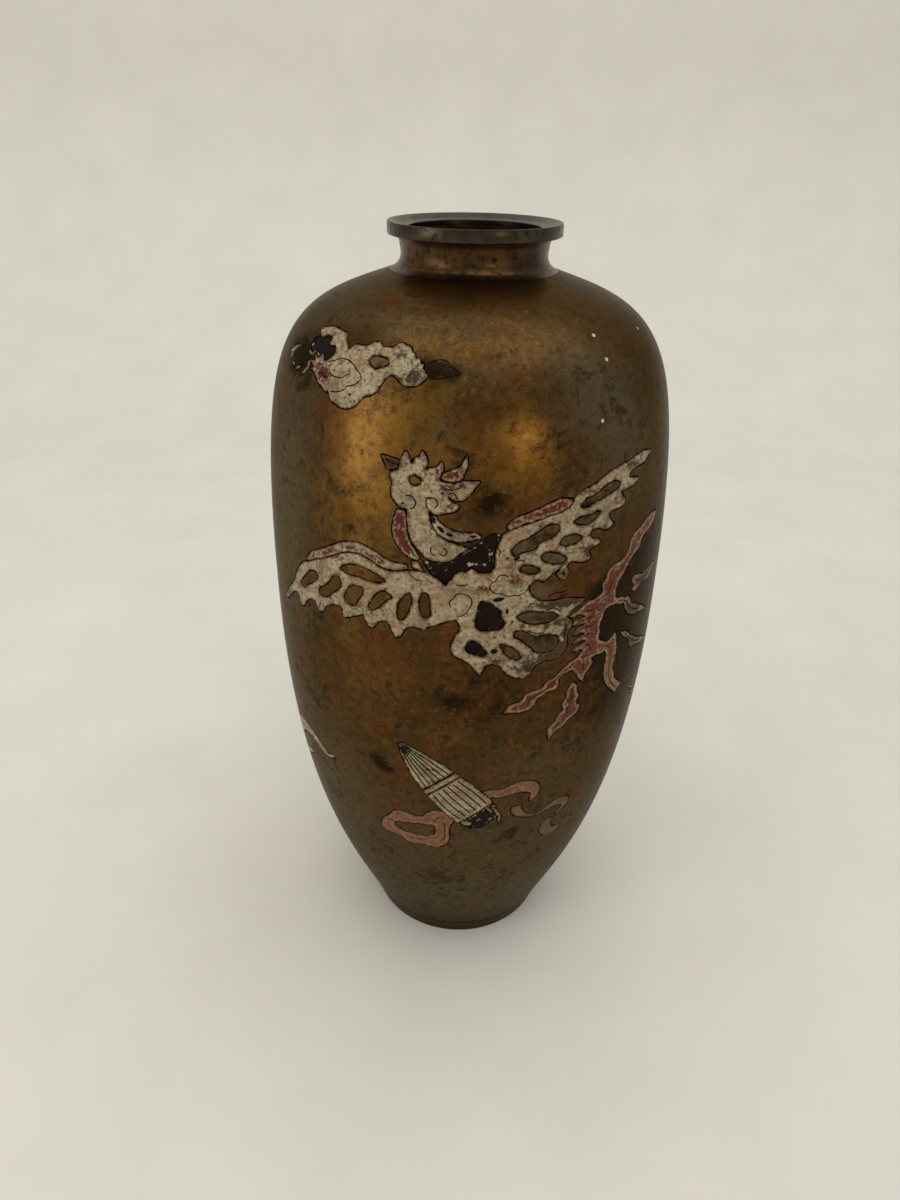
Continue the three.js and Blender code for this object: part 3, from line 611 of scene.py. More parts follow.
def lay_head():
    lay("phoenix_head", traced([
        (-13.5, 163.1, TIP), (-15.6, 163.7), (-17.2, 165.3), (-17.5, 167.2), (-17.2, 168.6), (-17.9, 170),
        (-17.4, 171), (-16, 171.5, TIP), (-15.5, 173.4), (-14.9, 174.9), (-14.3, 175.9, TIP),
        (-13.5, 174.6), (-12.8, 173.2, TIP), (-12.2, 174.3), (-11, 175), (-10.6, 176.2, TIP), (-9.6, 175.3),
        (-9.1, 173.8), (-9.7, 172.2, TIP), (-8.4, 172.6), (-7, 172.9), (-5.9, 174.3, TIP), (-5.5, 172.8),
        (-6, 171.4), (-6.5, 170.2, TIP), (-5.4, 169.7), (-3.8, 169.5), (-2.4, 169.6), (-1.2, 170.2, TIP),
        (1.2, 170.2), (2.9, 170.3, TIP), (1.6, 168.7), (0.3, 167.2), (-0.8, 166.1), (-2.4, 165.9),
        (-3.4, 166.2), (-4.4, 167, TIP), (-4.1, 166), (-3, 165.2), (-1.6, 164.7, TIP), (-2.5, 163.6),
        (-4.6, 163), (-6.4, 162.5), (-7.7, 162.6), (-8.5, 163.4, TIP), (-8.3, 161.6), (-7.6, 159.5),
        (-6.3, 157.7), (-4.4, 156.6), (-2, 155.9), (0.6, 155.1, TIP), (-0.4, 154.2), (-2, 153.1),
        (-3.4, 151.9), (-5.6, 151.5), (-8, 151.9), (-10, 153.2), (-11.7, 155), (-12.9, 157.3), (-13.4, 160),
    ]), "cream", [oval(-11.9, 169.7, 1.6, 1.2, -15)], lines=scored(
        [(-14, 166), (-13, 166.3), (-11.9, 165.6), (-11.6, 164.5), (-12.2, 163.5), (-13, 163.3)],
        [(-8.1, 166.3), (-9.1, 166), (-9.2, 164.8), (-8.8, 163.4)],
        [(-8.7, 165.9), (-7.5, 166.2), (-6.6, 165.4), (-6.7, 164.4), (-7.5, 164.1)],
        [(-6, 169.4), (-5.2, 168.5), (-3.6, 168.2), (-2, 168.6), (-0.7, 169.7)],
        [(-4.3, 167.2), (-3.4, 167.6), (-2.6, 167), (-2.2, 166.2)],
        [(-7.7, 155), (-7.9, 153.7), (-6.9, 152.7)],
        [(-5.3, 154.9), (-4.4, 154.6), (-4.3, 153.6), (-5.1, 153.1), (-5.8, 153.4)],
    ), chips=[oval(-14.6, 164.3, 0.4, 0.3, 0), oval(-5.6, 167.4, 0.45, 0.3, 30)],
        stands_for=("phoenix_head", "phoenix_neck"))
    lay("phoenix_beak", traced([
        (-15.9, 172, TIP), (-16.9, 171.7), (-18.4, 171.5), (-19.4, 172.7), (-20.4, 174.3, TIP),
        (-18.6, 174.1), (-16.8, 173.8), (-15.7, 173.6, TIP),
    ]), "faded", lines=scored([(-16, 172.7), (-17.6, 172.9), (-19.2, 173.6)]),
        stands_for=("phoenix_head",))
    lay("phoenix_crest", traced([
        (-5.6, 171.6, TIP), (-3.8, 172.4), (-2.4, 172.9), (-1.2, 174.2), (-0.2, 175.9, TIP), (-0.2, 173.8),
        (-0.8, 171.8), (-1.3, 170.7), (-2.4, 170.1), (-3.8, 170), (-5, 170.2), (-6, 170.6),
    ]), "cream")
    lay("phoenix_throat", strap([
        (-14.9, 162.7, 2), (-15.2, 159.6, 3.2), (-15.2, 157.4, 3.4), (-14.2, 155, 3), (-12.7, 153.2, 2.4),
        (-10.6, 151.9, 1),
    ]), "cream", lines=scored([(-13, 154.6), (-12.2, 153.4), (-11.8, 152.2)]))
    lay("phoenix_mane", strap([
        (-7.8, 162, 1.5), (-7, 160.2, 2.2), (-5.2, 158.7, 2.4), (-3, 157.9, 2.3), (-0.6, 157.6, 2),
        (1.6, 157.9, 1.5), (3.2, 157.6, 0.7),
    ]), "cream", chips=[oval(*chip) for chip in (
        (-7.4, 161.2, 0.9, 0.5, 110), (-5.7, 159.2, 1.1, 0.5, 135), (-3.7, 158.1, 0.9, 0.45, 165),
        (1.6, 157.9, 0.9, 0.35, 5),
    )])


def lay_wings():
    lay("left_wing_strip", strap([
        (-13.4, 149.5, 1), (-16, 149.1, 1.8), (-19, 149.4, 2.3), (-22, 150.7, 2.5), (-25.5, 151.6, 2.4),
        (-29.5, 151, 2.3), (-33, 149.3, 2.2), (-37, 147.1, 2), (-40.5, 145.4, 1.8), (-43, 143.5, 0.9),
    ]), "cream")
    lay("right_wing_strip", strap([
        (9.2, 159.7, 1.1), (12, 161.2, 2), (15.5, 162.1, 2.3), (19, 163.2, 2.6), (22, 163.9, 2.8),
        (24.8, 164.4, 1),
    ]), "red")
    left = [
        (-4.4, 145.6, TIP), (-6.2, 147.2), (-9, 148.5), (-12, 148.6), (-15, 148), (-17.5, 147.6),
        (-20, 147.9), (-22.5, 149.2), (-25, 150), (-28, 149.9), (-31, 149.1), (-34, 147.5), (-37, 145.7),
        (-40, 144.6), (-42.5, 143), (-45, 141.8), (-47, 139.8), (-49, 137), (-50, 135), (-52, 132.8),
        (-55, 129.8), (-57.8, 126.8, TIP), (-55.5, 127.1), (-53.5, 128.8), (-51.5, 130.8), (-49, 131.8),
        (-47.9, 130.6, TIP), (-47.5, 129.1), (-45.9, 129.2), (-44.8, 131), (-43, 132.5),
        (-40.6, 132.9, TIP), (-39.9, 131.4), (-39, 130.5), (-37.8, 131.1), (-36.8, 132.8), (-34, 134.4),
        (-32, 134.9), (-30.9, 134.2, TIP), (-30.8, 132), (-28.5, 132.9), (-26.3, 134), (-24.9, 134.8, TIP),
        (-24.1, 133.6), (-23.6, 132), (-22.5, 131.7), (-21.5, 132.6), (-20.6, 133.9), (-18.5, 134.4),
        (-17.5, 133.2), (-16.9, 131.6), (-16, 130.4, TIP), (-14.8, 131.5), (-14, 133.1), (-12.6, 134.2),
        (-10.5, 134), (-9.2, 133.5, TIP), (-8.2, 134.8), (-6, 135.6), (-3.6, 136.8), (-1.8, 137.2, TIP),
    ]
    plume = [
        (-1.2, 136.2), (-0.9, 134.6), (-1.6, 132.9), (-2.6, 131.2), (-2.9, 129), (-2, 127.2), (0, 126.4),
        (1.6, 125.2), (2.6, 123.8), (4.2, 121.9, TIP), (4.8, 123.2), (5.4, 124.6), (7, 125.1), (9, 124.2),
        (10.4, 122.1), (12.4, 120.9), (14.8, 120.2, TIP), (16.4, 121.2), (17.6, 123.2), (20, 124.4),
        (23.2, 124.3), (25.4, 125.8), (26, 128), (25.6, 130.4), (26.7, 132.6), (26.4, 134.4), (25, 135.6),
        (26.4, 136.8), (28.4, 138), (30.4, 139.2, TIP), (27, 140), (24, 140.6), (21, 140.6), (18, 141),
        (16.4, 142), (15, 143.6), (14.8, 145.4, TIP),
    ]
    right = [
        (16.4, 146.7), (18, 146.1), (19.4, 146.6), (20.4, 147.9), (21.6, 147.3), (22.8, 145.8),
        (24.2, 146, TIP), (24.7, 147.4), (24.1, 148.8), (25.2, 149.9), (27, 149.4), (29, 149.2),
        (31, 149.5, TIP), (30.3, 150.6), (30.1, 151.9), (31.6, 152.2), (33.4, 152.8, TIP), (32.6, 153.9),
        (30.8, 154.4), (30, 155.6), (31, 156.7), (33, 156.5), (35, 155.7), (37.7, 156.3, TIP), (36, 158.2),
        (35.6, 159.6), (38, 160), (40.4, 160.3), (41.3, 161.4, TIP), (40.2, 162.6), (39.4, 163.8),
        (41, 164), (43, 164.1), (45.2, 164.4), (46.1, 165.4, TIP), (44.4, 165.9), (42.8, 166.2),
        (42.4, 167.2), (44, 168.1), (46.2, 168.3), (48.5, 168.4), (50.5, 169.3), (52.8, 170.2, TIP),
        (49, 171.2), (46, 170.9), (43, 170.3), (40, 170), (37, 169.5), (34, 168.6), (31, 167.3),
        (28, 166.4), (25.4, 165.1), (23.5, 163), (21, 162.2), (18, 161.8), (13.5, 160.4), (10.5, 159.4),
        (8.6, 158.5), (7.5, 156.6), (6.6, 153.6), (6.8, 151.2), (6.2, 149.8), (5.2, 149), (3, 149.1),
        (1.4, 150.2), (0.2, 149.3), (-1.2, 149.5), (-2.2, 148.6), (-3.6, 146.8),
    ]
    black_cells = [
        [(2.5, 137), (2.6, 135.4), (4, 134.2), (7, 134), (9, 134.8), (9.6, 136), (8.9, 137.5), (8.6, 139),
         (7, 141), (5, 142), (3.6, 142.2), (3, 140.5)],
        [(0.4, 130), (1.6, 131.7), (3.6, 131), (5, 129.4), (5.8, 128), (4.6, 127), (2, 127.8), (0.8, 128.6)],
    ]
    copper_cells = [
        [(-47, 135), (-46.4, 136.4), (-44.6, 138.4), (-42.5, 140.6), (-40.6, 141.3), (-39.2, 141.2),
         (-39.2, 139.4), (-41, 137.6), (-43.4, 136), (-45, 134.6)],
        [(-39, 135.6), (-38.4, 137.6), (-35.6, 139.8), (-33.6, 142.4), (-31.8, 142.8), (-30.9, 141.4),
         (-31.6, 139.4), (-33.6, 137.6), (-35.6, 135.8), (-37.4, 135.2)],
        [(-30.4, 138), (-29.6, 139.8), (-28.2, 141.6), (-26.4, 142), (-24.6, 141.8), (-24.6, 140), (-26, 138),
         (-26.8, 136.4), (-28.6, 136), (-30, 136.4)],
        [(-23.6, 137), (-22.4, 139.4), (-20.6, 141.8), (-18.6, 142.4), (-16.9, 140.9), (-18.6, 139.6),
         (-20, 137.8), (-22.2, 136.2)],
        [(-15.9, 137), (-15.6, 140), (-14.2, 142), (-12.8, 143.2), (-12, 141.4), (-12.6, 138.6),
         (-13.8, 136.2), (-15.3, 135.2)],
        [(-10.4, 138.5), (-10.6, 141.5), (-9.6, 143.6), (-8.2, 143), (-7.7, 140), (-7.8, 137.4),
         (-9.4, 136.8)],
        [(-31.6, 145), (-29.5, 146.6), (-26.6, 147.4), (-23, 147), (-20, 146), (-18.5, 144.9), (-20.4, 144),
         (-23, 143.8), (-25.6, 144.2), (-28.5, 144)],
        [(10.1, 154.4), (11.6, 156.2), (14, 157.2), (16.4, 158.6), (19, 159.8), (21.4, 159.6), (21.8, 158),
         (19.8, 156.4), (17.4, 155.6), (15.4, 153.9), (13, 153.6), (11, 152.9)],
        [(25, 159.4), (27, 160.4), (30, 160.6), (31.8, 161), (33, 160.2), (31.4, 158.9), (29, 158),
         (26.6, 158.5)],
        [(21.6, 155.2), (23.2, 156.5), (26, 156.6), (27.9, 155.4), (26.6, 154.2), (24.4, 153.7),
         (22.6, 154)],
        [(17.1, 152.4), (18.4, 153.4), (20.6, 153), (22.6, 152.2), (24, 150.8), (22.8, 149.8), (20.4, 149.9),
         (18.2, 150.8)],
        [(12.2, 149.8), (13.4, 150.8), (15.6, 150.4), (17.4, 149.2), (16.6, 148.1), (14.6, 148.2),
         (12.8, 148.8)],
        [(26.9, 162.8), (28.4, 164.4), (31, 165), (34, 166.4), (37, 167), (39.2, 166.2), (38.4, 164.8),
         (35, 163.8), (31.5, 162.9), (28.6, 162.1)],
        [(12.1, 137.4), (13.4, 138.5), (15.5, 138.8), (18.5, 138), (21, 137.8), (22.9, 136.2), (21, 135),
         (18, 134.8), (16, 135), (14, 135.8)],
        [(11.7, 133.4), (13, 134), (15, 133.4), (17.5, 131.8), (20.5, 131.8), (23, 130.8), (23.6, 129),
         (22.6, 127), (20, 126.4), (17.6, 127), (16, 128.6), (13.5, 131), (12, 132)],
        [(8.4, 130.5), (9.8, 130.4), (11.8, 129.4), (13.6, 127.5), (14, 125.9), (12.6, 125.5), (10.6, 126.6),
         (9.2, 128.6)],
    ]
    cells = [smooth(cell) for cell in black_cells + copper_cells]
    lay("phoenix_flight", traced(left + plume + right), "cream", cells, lines=scored(
        [(-12.9, 148.4), (-12.4, 147.4), (-11, 146.6), (-9.6, 146.5)],
        [(-39.4, 134.9), (-38.6, 133.4), (-39.2, 131.6)], [(-27, 135.6), (-25.4, 134.9)],
        [(6.9, 155.4), (7.8, 154.2), (7.2, 153.2)], [(11, 151.4), (12.6, 152), (13.6, 151.4)],
        [(14.8, 145.6), (14.3, 144.2), (13, 143.3), (11.6, 143.2), (9.8, 143.2), (8.4, 143.8), (6.8, 144.1),
         (5.6, 145.4), (6, 146.6), (7, 147.2), (7.6, 148.3), (9, 148.5), (10, 147.9)],
        [(-1.6, 137.9), (-0.2, 138.4), (0.9, 139.8), (1.7, 141.6), (1.2, 143.2), (-0.4, 143.9), (-1.9, 143.7),
         (-2.4, 142.8)],
        [(-2.4, 142.8), (-3.5, 141.6), (-2.9, 140.2)], [(-2.2, 146.2), (-0.6, 146), (0.8, 146.3)],
        [(14.9, 133.8), (17, 132.6), (19.4, 132.4)], [(25.2, 134), (25, 131.4), (24.8, 129.2)],
        [(15.6, 138.9), (18.6, 138.2), (21.4, 138.6), (23.4, 137.2)],
    ), chips=[oval(7.8, 142.4, 1.4, 0.6, 8), oval(9.9, 139.2, 0.4, 0.8, 0), oval(-1.8, 134.6, 0.4, 0.3, 0),
              oval(7.3, 128.6, 0.9, 0.8, 0), oval(11.6, 152.4, 0.9, 0.5, 30), oval(21.6, 147.9, 1.2, 0.5, 40),
              oval(23.4, 147.3, 0.4, 0.5, 0), oval(11.2, 136.4, 0.3, 0.4, 0), oval(-3.3, 147.6, 0.4, 0.6, 0),
              oval(9.4, 152.6, 0.4, 0.3, 0)],
        stands_for=("left_wing", "phoenix_plume", "right_wing"))
    for number, cell in enumerate(black_cells, 1):
        lay(f"black_cell_{number}", smooth(cell), "lost", drop=lost_drop,
            stands_for=("phoenix_breast_bed",))
    engrave(scored(
        [(19.6, 141.9), (21.4, 142.5), (23, 142.4), (24.8, 142.7)],
        [(24.8, 141.8), (23, 141.4), (22.8, 140.9)],
    ))


def lay_breast():
    lay("phoenix_breast_bed", traced([
        (-9.5, 151.3, TIP), (-8.6, 149.8), (-7.4, 148.4), (-5.8, 147), (-4.4, 145.6, TIP), (-3, 146.8),
        (-1.4, 148.4), (0.4, 149.2), (3, 149), (5.4, 149), (6.1, 150.6), (5.6, 152.2), (6, 153.8),
        (6.7, 155.6), (7.4, 157), (7.9, 158, TIP), (6.2, 158.4), (4.6, 157.6), (3.2, 156.4), (1.6, 155.2),
        (-1, 153.8), (-2.6, 152.4), (-5, 151.2), (-7.4, 151.4),
    ]), "lost", drop=lost_drop)
    lay("breast_scrap", traced([
        (-12.2, 151, TIP), (-11, 150.9), (-10.2, 150.1), (-9.7, 149, TIP), (-10.8, 149.1), (-12, 149.6),
    ]), "cream", stands_for=("phoenix_breast_bed",))


def lay_tail():
    upper = [
        (58.4, 153.3, TIP), (55, 154), (52, 153.5), (49, 152.4), (46, 151.5), (44.6, 149.6), (44, 147.5),
        (42, 146), (38.5, 145.5), (36.8, 144.4), (36.2, 142.4), (35.2, 141), (35.8, 139.4),
    ]
    barbs = [
        (34, 138.5), (31.8, 138.1), (29.8, 137.4), (28.4, 136.4), (26.6, 135.7), (25.4, 134.5, TIP),
        (27, 134.9), (28.8, 135.2), (30.2, 134.6), (30.8, 133.9, TIP), (29, 134), (27.4, 133.4),
        (26.9, 132.5, TIP), (28.4, 132.4), (30.2, 132.4), (31.2, 132, TIP), (29.8, 131.6), (28.2, 131),
        (27.4, 129.8, TIP), (28.6, 129.5), (30, 129.8), (31, 129.4, TIP), (30, 128.8), (28.6, 128.2),
        (27.5, 127.3, TIP), (29, 127.2), (30.6, 127.6), (31.6, 127, TIP), (30.4, 126.4), (28.6, 125.9),
        (27.7, 125.2, TIP), (28.8, 124.6), (30.2, 125), (31, 124.6), (30.4, 123.6), (29.4, 122.7),
    ]
    lower = [
        (28, 122.2), (26.6, 121.2), (25.4, 120.6), (24.4, 119.6), (23.2, 118.5), (22, 118.3), (20.8, 117.5),
        (20, 116.2), (18, 115.8), (16, 115.3), (15.3, 114.3), (14.9, 113.3), (12.6, 112.7), (11.2, 111.4),
        (10.4, 109.9, TIP), (12.4, 110), (14.6, 109.8), (16.6, 110.2), (18.2, 111.4), (19.2, 113.2),
        (20.8, 114.3), (22.8, 114.9), (24.3, 115.1, TIP), (24.7, 116.6), (24.6, 118.1), (25.8, 119),
        (27.2, 119.3), (28.4, 119.3), (29.2, 118.4), (30, 117.4), (30.8, 116), (32.2, 114.5, TIP),
        (32.4, 116), (33.2, 117.4), (34.2, 118.6), (34.8, 120), (34, 121.2, TIP),
    ]
    curl = [
        (35.6, 121.4), (37.4, 121.2), (38.8, 121.4), (39.6, 120.4), (39.9, 118.4), (39.6, 116), (39.9, 113),
        (41, 110.6), (42.6, 108.6), (44.4, 106.8), (46.6, 104.6, TIP), (47.6, 105.6), (49.3, 106.4, TIP),
        (47.4, 108), (45.6, 109.6), (44.6, 111.4), (43.6, 113.8), (43.3, 115.6), (43.9, 117.6),
        (43.7, 120.4), (43.2, 123), (42.4, 125.6, TIP), (41.2, 124.6), (39.6, 124), (38.2, 124.4),
        (36.6, 125.4), (35.9, 126.6),
    ]
    side = [
        (36, 128.4), (35.7, 130), (36.6, 132), (36.9, 133.6), (38.4, 134.4), (40.8, 134.1), (43.2, 133.6),
        (44.6, 133), (45.2, 131.6), (46.4, 130), (48, 128.6), (50, 127.6), (52, 127.2), (55, 126.4),
        (58.8, 125.4, TIP), (56, 127.4), (54, 128.6), (52, 129.4), (50.6, 130.6), (48.8, 131.2),
        (47.6, 132.8), (46.4, 134.4), (44.8, 134.6), (43, 135.4), (41, 135.8), (40.4, 137.2), (40.6, 139.4),
        (41.6, 141), (43.2, 142.2), (44.4, 144), (46.6, 145.8), (49.2, 147.2), (50.4, 149.2), (52.6, 149.8),
        (55, 150.6), (57, 152),
    ]
    lay("tail_net", traced(upper + barbs + lower + curl + side), "pink", lines=scored(
        [(30.4, 135.8), (32.6, 135.4), (34.6, 135.8), (36.4, 137.4), (38, 139.2), (38.8, 141.2), (40.6, 143),
         (43, 144.6), (45, 146.6)],
        [(29.4, 133.2), (31.6, 133.6), (33.6, 133)], [(29, 130.6), (31, 131.2), (33, 130.9), (34.6, 131.8)],
        [(30.2, 128.3), (32.4, 128.8), (34.2, 128.2)], [(31.4, 126), (33, 125), (33.6, 123.4)],
        [(31.2, 122.4), (31.6, 120.4), (31.9, 118.2)],
        [(28.6, 121.2), (26.6, 120.2), (24.6, 118.8), (22.6, 116.8), (19.8, 114.8), (16.6, 113),
         (14.6, 111.6)],
        [(38.4, 123.1), (40.6, 121.9), (41.6, 119), (41.6, 115.6), (42.2, 112), (44.4, 108.6),
         (46.4, 106.6)],
        [(42, 134.7), (44.8, 133.8), (47, 131.4), (50, 129.2), (53, 128)],
        [(47.4, 148.6), (50.4, 151), (54, 152.2)],
        width=0.28,
    ), stands_for=("tail_root", "tail_feather_upper", "tail_feather_lower", "tail_feather_curl",
                   "tail_feather_side"))
    lay("tail_feather_drop", traced([
        (28.6, 115.4, TIP), (27.4, 113), (27.2, 111), (26.4, 109.2), (27, 107.6), (25.6, 106.2),
        (24.8, 104.2), (23.1, 102.8), (23.2, 100.6), (23.6, 98.5, TIP), (24.6, 100), (25.6, 101.3),
        (28, 102.4), (28.8, 103.6), (30.8, 104.6), (32, 106.2), (32.1, 107.6), (30.8, 108.2), (31, 109.6),
        (31.8, 110.4, TIP), (30.8, 112), (30.4, 114), (29.6, 115.1),
    ]), "pink", lines=scored(
        [(29, 113.6), (29.2, 110.6), (28.4, 107.6), (27.6, 105.2), (25.4, 102.6)],
    ))
    lay("tail_feather_far", traced([
        (46.9, 138.9, TIP), (49, 139.3), (51.4, 138.6), (53, 137.9), (55, 138.2), (58, 138.4),
        (62, 138, TIP), (59.6, 136.4), (56.4, 135.1), (53.6, 135.9), (51.6, 135.2), (49.4, 134.8),
        (47.9, 135.5), (48.8, 136.4), (47.9, 137.5),
    ]), "pink", lines=scored([(49.4, 137.6), (51.6, 136.9), (54, 136.8), (57, 136.8)]))
    lay("tail_feather_back", traced([
        (44.6, 124.6, TIP), (46.6, 124), (48.6, 122.9), (50, 121.4), (51.8, 120.2), (54, 118.8),
        (56.4, 117.4), (60, 115.8), (64, 113.2, TIP), (60, 114), (56.6, 115.4), (54, 116.4), (51.6, 116.8),
        (50.4, 118), (49.8, 119.8), (48.2, 121.4), (46.4, 122.6),
    ]), "pink", lines=scored([(47, 123.2), (50.4, 120), (54, 117.6), (58, 116)]))
    lay_scraps("edge_scrap", ("tail_feather_back",),
               [(56.6, 101.4, 0.4), (58.2, 99.8, 0.7), (60, 99, 0.4)],
               [(58, 98.4, 0.4), (59.8, 97.2, 0.6), (61.4, 96.6, 0.4)])


def lay_bundle():
    tip, along = Vector((-16, 98.3)), Vector((0.66, -0.751))
    across = Vector((0.751, 0.66))

    def reed_lines(start, end, start_half, end_half):
        """Length lines that fan out between two widths of the bundle."""
        drawn = []
        for share in (-0.76, -0.46, -0.16, 0.14, 0.44, 0.74):
            a = tip + along * start + across * start_half * share
            b = tip + along * end + across * end_half * share
            middle = (a + b) / 2 + across * share * 0.6
            drawn.append([(p.x, p.y, 0.5) for p in (a, middle, b)])
        return drawn

    lay_scraps("cap_scrap", ("bundle_end_cap",),
               [(0.9, 70.8, 0.9), (2.2, 70.4, 1.6), (3.8, 69.9, 1.1)], [(5.2, 71.2, 0.6), (6.4, 72, 1)],
               [(8.6, 71.4, 0.7), (9.7, 72.3, 0.9)], [(7.6, 76.9, 0.6), (8.8, 75.5, 0.9), (9.6, 74.2, 0.5)],
               [(9.6, 76.6, 0.5), (11.2, 74.2, 0.8), (12, 72.2, 0.9), (11.8, 70.2, 0.6)])
    pieces = {
        "bundle_reeds_upper": ([(0, 1.2), (5, 6), (10.3, 9.4), (15.4, 11.4)], "cream",
                               reed_lines(1.2, 15.2, 1, 5.6)),
        "bundle_tie": ([(16, 12), (17.5, 12.3)], "cream", []),
        "bundle_reeds_lower": ([(18, 12.2), (23, 13), (28, 13.2), (31.6, 12.6)], "cream",
                               reed_lines(18.6, 30.8, 6, 6.4)),
        "bundle_end_cap": ([(32, 12), (34.6, 10.6), (37.4, 5.5)], "lost", []),
    }
    for name, (knots, finish, lines) in pieces.items():
        line = [(*(tip + along * length), width) for length, width in knots]
        lay(name, strap(line), finish, lines=lines)


def lay_ribbons():
    lay("ribbon_loop", traced([
        (-0.8, 71.6, TIP), (-2.2, 73), (-4, 74.6), (-7, 75), (-9, 73.6), (-10.6, 71.8), (-13, 71.4),
        (-16.5, 72.2), (-19, 71.6), (-20.4, 70), (-21.2, 68.6), (-23, 67), (-24.2, 65), (-24.4, 62.6),
        (-22.6, 60.8), (-20, 60.4), (-17.5, 60.2), (-16, 58.8), (-14, 58.3), (-11, 58.8), (-8, 58.4),
        (-5.6, 58.8), (-3.6, 60.2), (-2.8, 62.4), (-2.6, 65), (-2.6, 67.4), (-2.2, 69.4),
    ]), "worn", [smooth([
        (-19.8, 65.4), (-18.6, 67), (-16.4, 67.4), (-13, 68.2), (-9.6, 68.4), (-7.2, 68.6), (-6.8, 66.4),
        (-7.4, 64.2), (-10, 63), (-13.5, 62.8), (-17, 63.2), (-19.4, 64),
    ])], lines=scored(
        [(-7, 70), (-6, 72), (-3.8, 72.8)], [(-4.2, 70.6), (-4, 67), (-4, 63.6), (-5.4, 61.2)],
        [(-10, 61.4), (-13, 60.8), (-15.4, 60.6)], [(-22.4, 64.6), (-21.4, 62.6)],
    ))
    lay("ribbon_bow", strap([
        (5.6, 81.6, 2), (8.6, 82.2, 3), (11.6, 81.9, 3), (14, 82.7, 3.4), (17, 83.4, 3.9), (20, 82.7, 3.9),
        (21.8, 80.9, 3.2), (21.6, 78.6, 2), (20.6, 77, 0.8),
    ]), "worn")
    lay("ribbon_end", strap([
        (16.8, 75.8, 2.6), (17, 73.8, 3.2), (18.8, 71.7, 2.2), (21.5, 70.3, 0.9), (24.8, 70.1, 0.8),
        (27.6, 71.4, 1.7), (31, 72.2, 2.7), (34, 71, 2.9), (33.6, 68.8, 1.6), (31.4, 66.8, 0.8),
    ]), "faded")
    lay("ribbon_tail", strap([
        (30, 65.4, 1.6), (28.6, 63.4, 3.4), (28.8, 61, 4), (30.8, 59, 3.8), (33.4, 58.8, 2.4),
        (35, 59.8, 0.8),
    ]), "faded")
    engrave(scored(
        [(38.5, 61.6), (39.8, 60.9), (41, 59.6)], [(34.6, 63), (36.6, 62.4), (37.6, 63)], width=0.4,
    ))


lay_cloud()
lay_streamers()
lay_head()
lay_wings()
lay_breast()
lay_tail()
lay_bundle()
lay_ribbons()


def body_profile():
    """Closed section of the body wall, from its foot up the outside and down the inside."""
    bottom = ring_height + fit_gap
    start, end = float(np.interp(bottom, wall_height, wall_length)), wall_length[-1]
    outer = [wall_spot(along, -copper_ease) for along in np.linspace(start, end, outer_steps)]
    inner = [wall_spot(along, -wall_thickness) for along in np.linspace(end, start, inner_steps)]
    inner = [(r, z) for r, z in inner if r > opening_radius and z > bottom + 0.2]
    mouth = [(opening_radius, seat.y - copper_ease), (opening_radius, inner[0][1])]
    return outer + mouth + inner + [(inner[-1][0] - 0.05, bottom)]


body = turn_up("vase_body", body_profile(), body_steps)
cut_away(body, [pocket for pocket, box in pockets])
for pocket, box in pockets:
    bpy.data.objects.remove(pocket)
soft_face(body, body_face_depth)
for name in plaques:
    soft_face(plaques[name][0], plaque_face_depth)
    mark_plaque(name)


def mark_body():
    places, depth = on_sheet(body.data)
    for label, oval_marks in (("sheen_and_gold", sheen_and_gold_patina), ("dark", dark_patina_and_reflection), ("film_and_sheen", grey_film_and_sheen)):
        mark(body.data, label, oval_strength(places, oval_marks))


mark_body()


# Neck, rim, foot ring and base plate

def neck_collar():
    sweep = smooth_line(flat([
        (seat.x, neck_step), (19.5, 0.6), (18.5, 1.6), (17.9, 3.3), (18.2, 6), (18.7, neck_height),
    ]), outline_steps, False)
    tail = -wall_thickness - neck_tail
    top = neck_height + spigot_rise
    profile = [(p.x, p.y) for p in sweep] + [
        (spigot_radius, neck_height), (spigot_radius, top), (bore_radius, top), (bore_radius, tail),
        (tail_radius, tail), (tail_radius, neck_step),
    ]
    return turn_up("neck_collar_turned", [(r, z + seat.y) for r, z in profile], ring_steps)


def mouth_rim():
    bottom = seat.y + neck_height
    profile = [
        (17.6, 0.3), (20.75, 0.3), (21, 0.4), (21.1, 0.65), (21.1, 2.95), (21, 3.2), (20.75, 3.3),
        (19.6, 2.95), (18.4, 2.35), (17.2, 2.1), (16.3, 2.05), (16, 1.9), (16, 1.2), (17.6, 1.2),
    ]
    return turn_up("mouth_rim_turned", [(r, z + bottom) for r, z in profile], ring_steps)


def foot_ring():
    profile = [
        (24, 0), (27.9, 0), (radius_at(0.25), 0.12), (radius_at(0.6), 0.6), (radius_at(3.3), 3.3),
        (radius_at(ring_height), ring_height), (27.4, ring_height), (27.4, 9), (26.1, 9), (26.1, 3),
        (24, 3),
    ]
    return turn_up("foot_ring_turned", profile, ring_steps)


def base_plate():
    profile = [(0, 3.3), (25.5, 3.3), (25.8, 3.6), (25.8, 5.2), (25.5, 5.5), (0, 5.5)]
    return turn_up("base_plate_turned", profile, plate_steps, closed=False)


vessel = {"body_shell": body, "neck_collar": neck_collar(), "mouth_rim": mouth_rim(),
          "foot_ring": foot_ring(), "base_plate": base_plate()}


# Materials

def group_socket(group, name, kind, way, value=None):
    socket = group.interface.new_socket(name=name, in_out=way, socket_type=kind)
    if value is not None:
        socket.default_value = value


